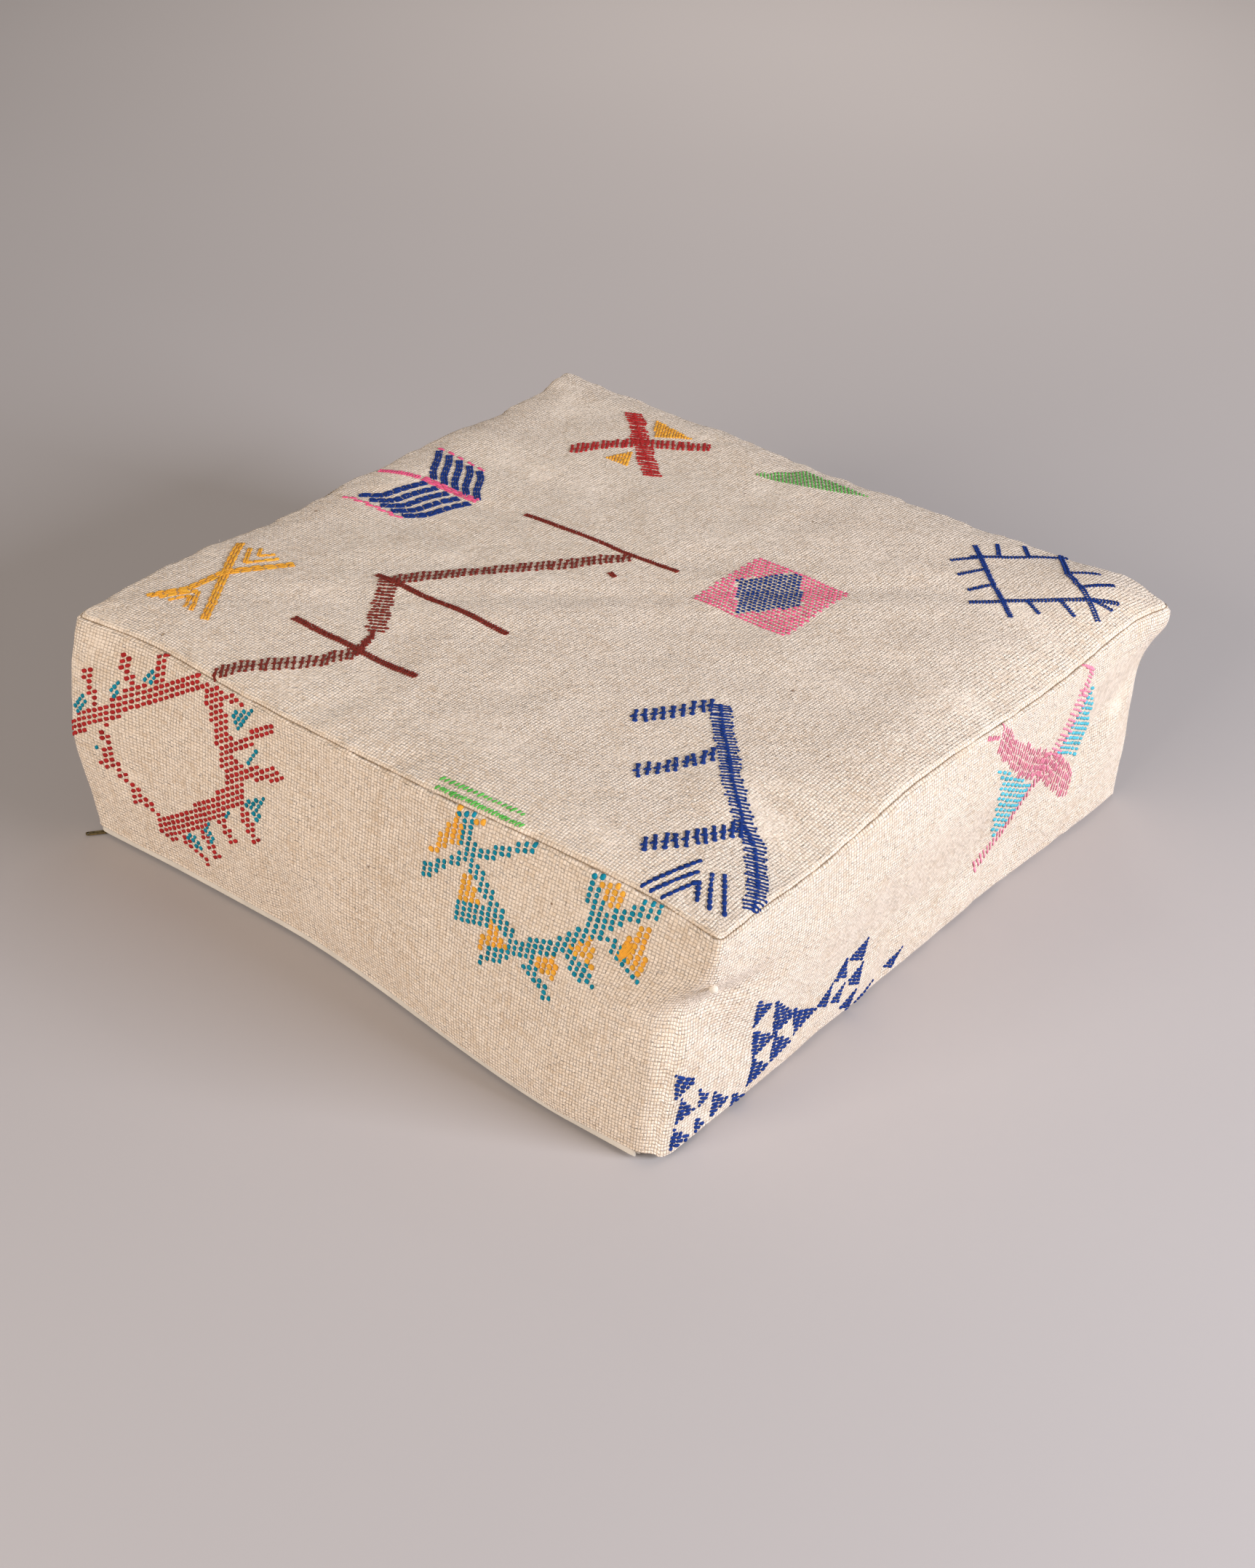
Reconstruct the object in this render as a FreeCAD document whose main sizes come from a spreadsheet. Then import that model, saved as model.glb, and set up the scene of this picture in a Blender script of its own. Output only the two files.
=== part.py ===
import FreeCAD, Part
import math
import os
import Sketcher

# Square box floor cushion. Millimetres. Row frame: +Z up, origin on the floor under the centre.
# Front wall faces -Y and carries the zip; the near corner is (+X, -Y).

Vec = FreeCAD.Vector
doc = FreeCAD.newDocument("floor_cushion")

# ---------------------------------------------------------------- driving dimensions
DIMENSIONS = [
    ("side", 600.0),          # finished width and depth over the cover
    ("tall", 200.0),          # floor to the face of the top panel
    ("cloth", 1.2),           # handwoven cover cloth
    ("corner", 12.0),         # radius of the four upright corners
    ("allowance", 10.0),      # seam allowance turned inside
    ("thread", 0.6),          # sewing thread, and the crease it sits in
    ("stitch", 0.6),          # embroidery stands this proud of the cloth
    ("ease", 1.5),            # gap between cover and insert
    ("casing", 0.8),          # lining cloth of the insert
    ("wadding", 12.0),        # wadding wrap
    ("edge", 45.0),           # rounding of the insert's edges
    ("zip_line", 10.0),       # zip centre line, in from the front wall
    ("zip_level", 4.7),       # zip centre above the floor
    ("tape", 0.6),            # zip tape thickness
    ("tape_wide", 11.0),      # zip tape on the bottom panel
    ("tooth_pitch", 4.0),
    ("tooth_count", 142.0),
    ("tooth_long", 1.6),      # along the zip
    ("tooth_deep", 1.7),      # across the zip
    ("tooth_thick", 1.6),
    ("row_gap", 1.2),         # between the two rows, where the slider's divider passes
    ("zip_start", -290.0),    # first tooth, at the left corner
    ("zip_mouth", 7.5),       # lower edge of the front wall above the floor
    ("lap_low", 2.7),         # lower edge of the zip lap
    ("lap_high", 15.0),
    ("slider_long", 9.0),
    ("slider_wide", 7.0),
    ("plate", 1.0),           # slider plate thickness
    ("slider_rest", -286.0),  # slider centre when the zip is shut
    ("leg", 1.2),             # bridge leg diameter
    ("leg_span", 6.4),
    ("bridge_bar", 0.8),
    ("pull_long", 30.0),
    ("pull_wide", 4.2),
    ("pull_thick", 0.9),
    ("eye_play", 0.08),       # radial play of the pull's eye on the leg
]
PULL_REST_DEG = 37.0          # pull turned from straight out towards the left corner

sheet = doc.addObject("Spreadsheet::Sheet", "Sheet")
for row, (alias, value) in enumerate(DIMENSIONS, start=1):
    sheet.set("A%d" % row, alias)
    sheet.set("B%d" % row, str(value))
    sheet.setAlias("B%d" % row, alias)
doc.recompute()
DIM = dict(DIMENSIONS)

SUBPARTS = []


def keep(obj, label):
    """Name a finished sub-part and list it for export."""
    obj.Label = label
    SUBPARTS.append(obj)
    return obj


def sized(text):
    """Spreadsheet expression from plain names, such as 'side/2 - cloth'."""
    words = text.replace("(", " ( ").replace(")", " ) ")
    for sign in "+-*/":
        words = words.replace(sign, " %s " % sign)
    return " ".join("Sheet." + word if word in DIM else word for word in words.split())


def box(name, size, corner):
    """Part::Box with its three sizes and its low corner bound to the sheet."""
    solid = doc.addObject("Part::Box", name)
    for prop, text in zip(("Length", "Width", "Height"), size):
        solid.setExpression(prop, sized(text))
    for axis, text in zip("xyz", corner):
        solid.setExpression("Placement.Base." + axis, sized(text))
    return solid


def rod(name, diameter, length, corner):
    """Upright Part::Cylinder bound to the sheet."""
    solid = doc.addObject("Part::Cylinder", name)
    solid.setExpression("Radius", sized("(%s) / 2" % diameter))
    solid.setExpression("Height", sized(length))
    for axis, text in zip("xyz", corner):
        solid.setExpression("Placement.Base." + axis, sized(text))
    return solid


def fuse(name, shapes):
    joined = doc.addObject("Part::MultiFuse", name)
    joined.Shapes = shapes
    joined.Refine = True
    return joined


def cut(name, base, tool):
    result = doc.addObject("Part::Cut", name)
    result.Base = base
    result.Tool = tool
    return result


def new_sketch(body, name, role):
    """Sketch lying on one of the body's own origin planes."""
    sketch = body.newObject("Sketcher::SketchObject", name)
    plane = next(item for item in body.Origin.OriginFeatures if item.Role == role)
    sketch.AttachmentSupport = [(plane, "")]
    sketch.MapMode = "FlatFace"
    return sketch


def rounded_rectangle(sketch, wide, deep, radius):
    """Centred rectangle with round corners; wide, deep and radius are sheet expressions."""
    start = {key: sheet_value(text) for key, text in (("w", wide), ("d", deep), ("r", radius))}
    half_w, half_d, r = start["w"] / 2, start["d"] / 2, start["r"]
    first = sketch.GeometryCount
    corners = [(1, -1), (1, 1), (-1, 1), (-1, -1)]
    for index, (sx, sy) in enumerate(corners):
        centre = Vec(sx * (half_w - r), sy * (half_d - r), 0)
        turn = -math.pi / 2 + index * math.pi / 2
        arc = Part.ArcOfCircle(Part.Circle(centre, Vec(0, 0, 1), r), turn, turn + math.pi / 2)
        sketch.addGeometry(arc, False)
    for index in range(4):
        arc = sketch.Geometry[first + index]
        following = sketch.Geometry[first + (index + 1) % 4]
        sketch.addGeometry(Part.LineSegment(arc.EndPoint, following.StartPoint), False)
    for index in range(4):
        arc = first + index
        line = first + 4 + index
        following = first + (index + 1) % 4
        sketch.addConstraint(Sketcher.Constraint("Tangent", arc, 2, line, 1))
        sketch.addConstraint(Sketcher.Constraint("Tangent", line, 2, following, 1))
        if index:
            sketch.addConstraint(Sketcher.Constraint("Equal", first, arc))
    sketch.addConstraint(Sketcher.Constraint("Vertical", first + 4))
    sketch.addConstraint(Sketcher.Constraint("Horizontal", first + 5))
    sketch.addConstraint(Sketcher.Constraint("Symmetric", first, 3, first + 2, 3, -1, 1))
    named = (
        ("Radius", (first,), r, radius),
        ("DistanceX", (first + 3, 3, first, 3), 2 * (half_w - r), "(%s) - 2*(%s)" % (wide, radius)),
        ("DistanceY", (first, 3, first + 1, 3), 2 * (half_d - r), "(%s) - 2*(%s)" % (deep, radius)),
    )
    for kind, where, value, text in named:
        number = sketch.addConstraint(Sketcher.Constraint(kind, *where, value))
        sketch.setExpression("Constraints[%d]" % number, sized(text))


def sheet_value(text):
    """Number that a sheet expression gives with the sizes above."""
    total = 0.0
    for part in text.replace("-", "+-").split("+"):
        factor = 1.0
        for word in part.replace("-", " -1 ").replace("*", " ").split():
            factor *= DIM[word] if word in DIM else float(word)
        total += factor if part.strip() else 0.0
    return total


def rounded_block(name, wide, deep, radius, thick, level, hollow=None):
    """Pad of a rounded rectangle standing on level; hollow=(wide, deep, radius) leaves a ring."""
    body = doc.addObject("PartDesign::Body", name)
    outline = new_sketch(body, name + "_outline", "XY_Plane")
    rounded_rectangle(outline, wide, deep, radius)
    if hollow:
        rounded_rectangle(outline, *hollow)
    pad = body.newObject("PartDesign::Pad", name + "_pad")
    pad.Profile = outline
    pad.setExpression("Length", sized(thick))
    outline.Visibility = False
    body.setExpression("Placement.Base.z", sized(level))
    return body


# ---------------------------------------------------------------- zip notch and corner cuts
ZIP_END_X = 293.0             # the near corner stays closed beyond this
NOTCH_BACK = 16.0             # how far the zip opening runs round the left corner

front_notch = box(
    "front_notch",
    (str(ZIP_END_X) + " + side/2 + 1", str(NOTCH_BACK) + " + 1", "zip_mouth + 1"),
    ("-side/2 - 1", "-side/2 - 1", "-1"),
)


def diagonal_half(name, sign):
    """Large block on one side of the line that joins the left and right corners."""
    block = doc.addObject("Part::Box", name)
    block.setExpression("Length", sized("side*2"))
    block.setExpression("Width", sized("side"))
    block.setExpression("Height", sized("tall*2"))
    turn = FreeCAD.Rotation(Vec(0, 0, 1), 45)
    reach = DIM["side"]
    across = -DIM["thread"] / 2 if sign > 0 else DIM["thread"] / 2 - DIM["side"]
    block.Placement = FreeCAD.Placement(turn.multVec(Vec(-reach, across, -1)), turn)
    return block


# ---------------------------------------------------------------- cover: walls and panels
WALL = ("side", "side", "corner")
WALL_INSIDE = ("side - 2*cloth", "side - 2*cloth", "corner - cloth")
LIP_INSIDE = ("side - 4*cloth", "side - 4*cloth", "corner - 2*cloth")


def wall_half(label, away_side):
    """One boxing strip: round two sides of the cushion without a seam at its own corner."""
    ring = rounded_block(
        label + "_ring", *WALL, "tall - 2*cloth - 2*thread", "cloth + thread", hollow=WALL_INSIDE
    )
    trimmed = cut(label + "_trim", ring, diagonal_half(label + "_away", away_side))
    return keep(cut(label, trimmed, front_notch), label)


wall_half("wall_front_right", +1)
wall_half("wall_back_left", -1)

top_face = rounded_block("top_face", *WALL, "cloth", "tall - cloth")
top_lip = rounded_block(
    "top_lip", *WALL_INSIDE, "allowance", "tall - cloth - allowance", hollow=LIP_INSIDE
)
keep(fuse("top_panel", [top_face, top_lip]), "top_panel")

BOTTOM_STEP_BACK = 32.0       # where the bottom panel starts to rise to the zip
BOTTOM_STEP_FRONT = 24.0
BOTTOM_EDGE = 15.0            # raised front edge of the bottom panel, in from the front wall
half = DIM["side"] / 2
tape_low = DIM["zip_level"] - DIM["tape"] / 2
rise = tape_low - DIM["cloth"]

bottom_body = doc.addObject("PartDesign::Body", "bottom_rise")
profile = new_sketch(bottom_body, "bottom_profile", "YZ_Plane")
points = [
    (-half + BOTTOM_EDGE, rise),
    (-half + BOTTOM_STEP_FRONT, rise),
    (-half + BOTTOM_STEP_BACK, 0.0),
    (half, 0.0),
    (half, DIM["cloth"]),
    (-half + BOTTOM_STEP_BACK + 0.5, DIM["cloth"]),
    (-half + BOTTOM_STEP_FRONT + 0.5, tape_low),
    (-half + BOTTOM_EDGE, tape_low),
]
for index, point in enumerate(points):
    following = points[(index + 1) % len(points)]
    profile.addGeometry(Part.LineSegment(Vec(*point, 0), Vec(*following, 0)), False)
for index in range(len(points)):
    profile.addConstraint(Sketcher.Constraint("Coincident", index, 2, (index + 1) % len(points), 1))
rise_pad = bottom_body.newObject("PartDesign::Pad", "bottom_rise_pad")
rise_pad.Profile = profile
rise_pad.setExpression("Length", sized("side"))
rise_pad.Midplane = True

corner_tab = box(
    "corner_tab",
    ("side/2 - %s" % ZIP_END_X, "side", "cloth"),
    (str(ZIP_END_X), "-side/2", "0"),
)
raised_only = box(
    "raised_only",
    ("side/2 - %s + 1" % ZIP_END_X, "%s + 1" % BOTTOM_STEP_BACK, "tall"),
    (str(ZIP_END_X), "-side/2 - 1", "-1"),
)
wall_clear = box(
    "wall_clear",
    ("cloth + 1", "%s + 1" % BOTTOM_STEP_BACK, "tall"),
    ("-side/2 - 1", "-side/2 - 1", "-1"),
)
rise_trimmed = cut("bottom_rise_trim", cut("bottom_wall_trim", bottom_body, wall_clear), raised_only)
bottom_cloth = fuse("bottom_cloth", [rise_trimmed, corner_tab])
outline_block = rounded_block("bottom_outline", *WALL, "allowance + 2*cloth", "-cloth")
bottom_face = doc.addObject("Part::MultiCommon", "bottom_face")
bottom_face.Shapes = [bottom_cloth, outline_block]
bottom_lip_ring = rounded_block("bottom_lip_ring", *WALL_INSIDE, "allowance", "cloth", hollow=LIP_INSIDE)
lip_clear = box(
    "lip_clear",
    ("side + 2", "%s + 2" % BOTTOM_STEP_BACK, "tall"),
    ("-side/2 - 1", "-side/2 - 1", "0"),
)
bottom_lip = cut("bottom_lip", bottom_lip_ring, lip_clear)
keep(fuse("bottom_panel", [bottom_face, bottom_lip]), "bottom_panel")

# ---------------------------------------------------------------- seam threads in their creases
SEAM_SUNK = 0.3               # thread set in from the face of the cloth
SEAM_OUT = ("side - 2*%s" % SEAM_SUNK, "side - 2*%s" % SEAM_SUNK, "corner - %s" % SEAM_SUNK)
SEAM_IN = ("side - 2*cloth", "side - 2*cloth", "corner - cloth")
keep(
    rounded_block("top_seam_thread", *SEAM_OUT, "thread", "tall - cloth - thread", hollow=SEAM_IN),
    "top_seam_thread",
)
bottom_ring = rounded_block("bottom_seam_ring", *SEAM_OUT, "thread", "cloth", hollow=SEAM_IN)
keep(cut("bottom_seam_thread", bottom_ring, front_notch), "bottom_seam_thread")

diagonal_in = (DIM["corner"] - 2 * SEAM_SUNK) * (1 - math.sqrt(0.5)) + 2 * SEAM_SUNK * math.sqrt(0.5)
for label, sign, low in (("left_seam_thread", -1, "zip_mouth"), ("right_seam_thread", +1, "cloth + thread")):
    upright = rod(
        label,
        "thread",
        "tall - cloth - thread - (%s)" % low,
        ("%d*(side/2 - %.4f)" % (sign, diagonal_in), "%d*(side/2 - %.4f)" % (sign, diagonal_in), low),
    )
    keep(upright, label)

# ---------------------------------------------------------------- insert: casing, wadding, foam


def soft_block(name, inset):
    """Block with every edge rounded, inset from the inside of the cover."""
    depth = sheet_value(inset)
    block = box(
        name + "_block",
        ("side - 2*(%s)" % inset, "side - 2*(%s)" % inset, "tall - 2*(%s)" % inset),
        ("-side/2 + (%s)" % inset, "-side/2 + (%s)" % inset, inset),
    )
    doc.recompute()
    radius = DIM["edge"] - (depth - DIM["cloth"] - DIM["ease"])
    rounded = doc.addObject("Part::Fillet", name)
    rounded.Base = block
    rounded.Edges = [(number, radius, radius) for number in range(1, 13)]
    return rounded


CASING_IN = "cloth*2 + ease"
WADDING_IN = "cloth*2 + ease + casing"
FOAM_IN = "cloth*2 + ease + casing + wadding"
keep(cut("insert_casing", soft_block("casing_out", CASING_IN), soft_block("casing_in", WADDING_IN)),
     "insert_casing")
keep(cut("wadding_wrap", soft_block("wadding_out", WADDING_IN), soft_block("wadding_in", FOAM_IN)),
     "wadding_wrap")
keep(soft_block("foam_core", FOAM_IN), "foam_core")

# ---------------------------------------------------------------- zip: lap, tapes, teeth, ends
zip_long = "tooth_count*tooth_pitch"
zip_y = "-side/2 + zip_line"
TAPE_LEAD = 3.0               # tape runs this far past the teeth at the shut end
TAPE_TAIL = 4.0               # and this far at the other
CORNER_CLEAR = 4.0            # upright cloth starts past the round of the corner

lap = box(
    "zip_lap",
    (zip_long + " + %s - %s" % (TAPE_TAIL, CORNER_CLEAR), "cloth", "lap_high - lap_low"),
    ("zip_start + %s" % CORNER_CLEAR, "-side/2 + cloth", "lap_low"),
)
keep(lap, "zip_lap")

front_flat = box(
    "tape_front_flat",
    (zip_long + " + %s" % (TAPE_LEAD + TAPE_TAIL), "zip_line - 2*cloth - row_gap/2 - tooth_deep", "tape"),
    ("zip_start - %s" % TAPE_LEAD, "-side/2 + 2*cloth", "zip_level - tape/2"),
)
front_upright = box(
    "tape_front_upright",
    (zip_long + " + %s - %s" % (TAPE_TAIL, CORNER_CLEAR), "tape", "lap_high - zip_level"),
    ("zip_start + %s" % CORNER_CLEAR, "-side/2 + 2*cloth", "zip_level - tape/2"),
)
keep(fuse("zip_tape_front", [front_flat, front_upright]), "zip_tape_front")
rear_tape = box(
    "zip_tape_rear",
    (zip_long + " + %s" % (TAPE_LEAD + TAPE_TAIL), "tape_wide", "tape"),
    ("zip_start - %s" % TAPE_LEAD, zip_y + " + row_gap/2 + tooth_deep", "zip_level - tape/2"),
)
keep(rear_tape, "zip_tape_rear")


CORD_THINNER = 0.4            # the corded edge is this much thinner than the teeth


def tooth_row(label, side_sign):
    """Comb of teeth on a corded edge, one row of the zip."""
    body = doc.addObject("PartDesign::Body", label)
    cord = body.newObject("PartDesign::AdditiveBox", label + "_cord")
    cord.setExpression("Length", sized(zip_long))
    cord.setExpression("Width", sized("tooth_deep/2"))
    cord.setExpression("Height", sized("tooth_thick - %s" % CORD_THINNER))
    tooth = body.newObject("PartDesign::AdditiveBox", label + "_tooth")
    tooth.setExpression("Length", sized("tooth_long"))
    tooth.setExpression("Width", sized("tooth_deep"))
    tooth.setExpression("Height", sized("tooth_thick"))
    near = "row_gap/2" if side_sign > 0 else "-row_gap/2 - tooth_deep"
    cord_near = "row_gap/2 + tooth_deep/2" if side_sign > 0 else "-row_gap/2 - tooth_deep"
    shift = "0" if side_sign > 0 else "tooth_pitch/2"
    cord.setExpression("Placement.Base.y", sized(cord_near))
    cord.setExpression("Placement.Base.z", sized("-tooth_thick/2 + %s/2" % CORD_THINNER))
    tooth.setExpression("Placement.Base.x", sized(shift))
    tooth.setExpression("Placement.Base.y", sized(near))
    tooth.setExpression("Placement.Base.z", sized("-tooth_thick/2"))
    comb = body.newObject("PartDesign::LinearPattern", label + "_comb")
    comb.Originals = [tooth]
    axis = next(item for item in body.Origin.OriginFeatures if item.Role == "X_Axis")
    comb.Direction = (axis, [""])
    comb.setExpression("Length", sized("(tooth_count - 1)*tooth_pitch"))
    comb.setExpression("Occurrences", sized("tooth_count"))
    body.Tip = comb
    body.setExpression("Placement.Base.x", sized("zip_start"))
    body.setExpression("Placement.Base.y", sized(zip_y))
    body.setExpression("Placement.Base.z", sized("zip_level"))
    return keep(body, label)


tooth_row("zip_teeth_rear", +1)
tooth_row("zip_teeth_front", -1)

STOP_LONG = 1.5
STOP_GAP = 1.1                # free tape between the top stop and the first tooth
TACK_GAP = 0.3
STOP_PROUD = 0.5              # the top stop is thicker than the teeth, so the slider meets it
top_stop = box(
    "zip_top_stop",
    (str(STOP_LONG), "row_gap + 2*tooth_deep", "tooth_thick + 2*%s" % STOP_PROUD),
    ("zip_start - %s" % (STOP_LONG + STOP_GAP), zip_y + " - row_gap/2 - tooth_deep",
     "zip_level - tooth_thick/2 - %s" % STOP_PROUD),
)
keep(top_stop, "zip_top_stop")
end_box = box(
    "zip_end_box",
    ("2*%s" % STOP_LONG, "row_gap", "tooth_thick"),
    ("zip_start + %s - 2*%s" % (zip_long, STOP_LONG), zip_y + " - row_gap/2", "zip_level - tooth_thick/2"),
)
keep(end_box, "zip_end_box")
bartack = box(
    "zip_bartack",
    (str(TAPE_TAIL - TACK_GAP), "tape_wide/2", "tape"),
    ("zip_start + %s + %s" % (zip_long, TACK_GAP), zip_y + " - tape_wide/4", "zip_level - tape*3/2"),
)
keep(bartack, "zip_bartack")

# ---------------------------------------------------------------- slider and pull
CHANNEL_PLAY = 0.3            # between the slider's plates and the teeth
DIVIDER_PLAY = 0.1
FLANGE = 0.6                  # slider wall outside the teeth
UNDER_BRIDGE = 0.2            # the bridge stays this far above the floor
PULL_PLAY = 0.3               # pull above the bridge bar
plate_low = "zip_level - tooth_thick/2 - %s - plate" % CHANNEL_PLAY
plate_high = "zip_level + tooth_thick/2 + %s" % CHANNEL_PLAY
lower_plate = rounded_block("slider_lower", "slider_long", "slider_wide", "plate*2", "plate", plate_low)
upper_plate = rounded_block("slider_upper", "slider_long", "slider_wide", "plate*2", "plate", plate_high)
for plate_body in (lower_plate, upper_plate):
    plate_body.setExpression("Placement.Base.x", sized("slider_rest"))
    plate_body.setExpression("Placement.Base.y", sized(zip_y))
divider = box(
    "slider_divider",
    ("slider_long/3", "row_gap/2 - %s" % DIVIDER_PLAY, "tooth_thick + 2*%s" % CHANNEL_PLAY),
    ("slider_rest + slider_long/6", zip_y + " - row_gap/4 + %s/2" % DIVIDER_PLAY,
     "zip_level - tooth_thick/2 - %s" % CHANNEL_PLAY),
)
flanges = []
for side_sign in (-1, 1):
    for level_name, low in (
        ("low", "zip_level - tooth_thick/2 - %s" % CHANNEL_PLAY),
        ("high", "zip_level + tape/2 + %s" % CHANNEL_PLAY),
    ):
        shift = "slider_wide/2 - %s" % FLANGE if side_sign > 0 else "-slider_wide/2"
        flanges.append(box(
            "slider_flange_%s_%d" % (level_name, side_sign + 1),
            ("slider_long - 4*plate", str(FLANGE), "tooth_thick/2 - tape/2"),
            ("slider_rest - slider_long/2 + 2*plate", zip_y + " + " + shift, low),
        ))
legs = []
for side_sign in (-1, 1):
    legs.append(rod(
        "bridge_leg_%d" % (side_sign + 1),
        "leg",
        plate_low + " - %s" % UNDER_BRIDGE,
        ("slider_rest + %d*leg_span/2" % side_sign, zip_y, str(UNDER_BRIDGE)),
    ))
bar = box(
    "bridge_bar_block",
    ("leg_span", "leg", "bridge_bar"),
    ("slider_rest - leg_span/2", zip_y + " - leg/2", str(UNDER_BRIDGE)),
)
keep(fuse("zip_slider", [lower_plate, upper_plate, divider, bar] + flanges + legs), "zip_slider")

pull = doc.addObject("PartDesign::Body", "zip_pull")
pull_outline = new_sketch(pull, "pull_outline", "XY_Plane")
rounded_rectangle(pull_outline, "pull_wide", "pull_long", "pull_wide*0.4")
pull_pad = pull.newObject("PartDesign::Pad", "pull_pad")
pull_pad.Profile = pull_outline
pull_pad.setExpression("Length", sized("pull_thick"))
pull_holes = new_sketch(pull, "pull_holes", "XY_Plane")
EYE_IN = DIM["pull_wide"] / 2
eye_centre = Vec(0, DIM["pull_long"] / 2 - EYE_IN, 0)
eye_radius = DIM["leg"] / 2 + DIM["eye_play"]
eye = pull_holes.addGeometry(Part.Circle(eye_centre, Vec(0, 0, 1), eye_radius), False)
pull_holes.addConstraint(Sketcher.Constraint("PointOnObject", eye, 3, -2))
radius_at = pull_holes.addConstraint(Sketcher.Constraint("Radius", eye, eye_radius))
pull_holes.setExpression("Constraints[%d]" % radius_at, sized("leg/2 + eye_play"))
level_at = pull_holes.addConstraint(Sketcher.Constraint("DistanceY", -1, 1, eye, 3, eye_centre.y))
pull_holes.setExpression("Constraints[%d]" % level_at, sized("pull_long/2 - pull_wide/2"))
finger = Vec(0, -DIM["pull_long"] / 2 + EYE_IN, 0)
tip_hole = pull_holes.addGeometry(Part.Circle(finger, Vec(0, 0, 1), DIM["pull_wide"] / 4), False)
pull_holes.addConstraint(Sketcher.Constraint("PointOnObject", tip_hole, 3, -2))
tip_radius = pull_holes.addConstraint(Sketcher.Constraint("Radius", tip_hole, DIM["pull_wide"] / 4))
pull_holes.setExpression("Constraints[%d]" % tip_radius, sized("pull_wide/4"))
tip_level = pull_holes.addConstraint(Sketcher.Constraint("DistanceY", tip_hole, 3, -1, 1, -finger.y))
pull_holes.setExpression("Constraints[%d]" % tip_level, sized("pull_long/2 - pull_wide/2"))
pull_pocket = pull.newObject("PartDesign::Pocket", "pull_pocket")
pull_pocket.Profile = pull_holes
pull_pocket.Type = "ThroughAll"
pull_pocket.Midplane = True
pull_turn = FreeCAD.Rotation(Vec(0, 0, 1), -PULL_REST_DEG)
leg_at = Vec(DIM["slider_rest"] - DIM["leg_span"] / 2, -half + DIM["zip_line"], 0)
pull_low = UNDER_BRIDGE + DIM["bridge_bar"] + PULL_PLAY
pull.Placement = FreeCAD.Placement(leg_at - pull_turn.multVec(eye_centre) + Vec(0, 0, pull_low), pull_turn)
keep(pull, "zip_pull")

# ---------------------------------------------------------------- embroidery
# Each motif is one thread colour. u runs to the right along its panel as seen from outside, v up
# (on the top panel v runs from the front edge to the back); both start at the panel's left corner.
PANELS = {
    "top": (("-side/2", "-side/2", "tall"), Vec(1, 0, 0), Vec(0, 1, 0)),
    "front": (("-side/2", "-side/2", "0"), Vec(1, 0, 0), Vec(0, 0, 1)),
    "right": (("side/2", "-side/2", "0"), Vec(0, 1, 0), Vec(0, 0, 1)),
    "back": (("side/2", "side/2", "0"), Vec(-1, 0, 0), Vec(0, 0, 1)),
    "left": (("-side/2", "side/2", "0"), Vec(0, -1, 0), Vec(0, 0, 1)),
}
BROAD = 13.0                  # ladder of cross stitches
NARROW = 6.0                  # chain line
FINE = 3.0                    # single line of stitches


def stroke(u1, v1, u2, v2, width):
    """Flat face of one straight stroke of stitching."""
    along = Vec(u2 - u1, v2 - v1, 0).normalize()
    across = Vec(-along.y, along.x, 0) * (width / 2)
    start, end = Vec(u1, v1, 0), Vec(u2, v2, 0)
    ring = [start + across, end + across, end - across, start - across]
    return Part.Face(Part.makePolygon(ring + ring[:1]))


def path(points, width):
    return [stroke(*start, *end, width) for start, end in zip(points, points[1:])]


def patch(*points):
    """Flat face of one filled area."""
    ring = [Vec(u, v, 0) for u, v in points]
    return Part.Face(Part.makePolygon(ring + ring[:1]))


def slab(faces):
    """Overlapping strokes fused into one layer."""
    layers = [face.extrude(Vec(0, 0, 1)) for face in faces]
    return layers[0].multiFuse(layers[1:]).removeSplitter() if len(layers) > 1 else layers[0]


def flat_area(panel):
    """Block over the flat part of a panel; a wall is flat between its round corners."""
    if panel == "top":
        return Part.makeBox(DIM["side"], DIM["side"], 1)
    return Part.makeBox(DIM["side"] - 2 * DIM["corner"], DIM["tall"], 1, Vec(DIM["corner"], 0, 0))


def motif(label, panel, faces, beside=()):
    """Stand-in pad for one motif, as thick as the stitches stand proud.

    It ends at its panel's flat part and gives way to beside."""
    block = slab(faces).cut(slab(beside)) if beside else slab(faces)
    block = block.common(flat_area(panel))
    flat = [face for face in block.Faces if face.BoundBox.ZMax < 0.5]
    corner, right, up = PANELS[panel]
    outline = doc.addObject("Part::Feature", label + "_outline")
    outline.Shape = Part.Compound(flat)
    out = right.cross(up)
    outline.Placement = FreeCAD.Placement(Vec(0, 0, 0), FreeCAD.Rotation(right, up, out, "XYZ"))
    for axis, text in zip("xyz", corner):
        outline.setExpression("Placement.Base." + axis, sized(text))
    pad = doc.addObject("Part::Extrusion", label)
    pad.Base = outline
    pad.DirMode = "Custom"
    pad.Dir = out
    pad.Solid = True
    pad.setExpression("LengthFwd", sized("stitch"))
    return keep(pad, label)


motif("top_orange_hourglass", "top", (
    path([(19, 154), (47, 109), (81, 49)], NARROW)
    + path([(74, 154), (45, 109), (42, 74), (27, 47)], NARROW)
    + path([(31, 151), (46, 131), (59, 153)], FINE)
    + path([(36, 51), (51, 76), (65, 52)], FINE)
))
motif("top_russet_zigzag", "top", (
    path([(135, 2), (142, 19), (159, 38), (184, 63), (197, 90), (187, 122), (144, 185), (259, 346)], BROAD)
    + path([(130, 94), (255, 93)], NARROW)
    + path([(131, 185), (265, 184)], NARROW)
    + path([(149, 344), (302, 349)], NARROW)
    + path([(263, 311), (269, 311)], NARROW)
))
pink_line = path([(9, 321), (47, 332), (103, 336)], NARROW)
motif("top_pink_line", "top", pink_line)
FEATHER_STRIPES = 5
FEATHER_STEP = 12.0
FEATHER_ROOT = 53.0
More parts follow.
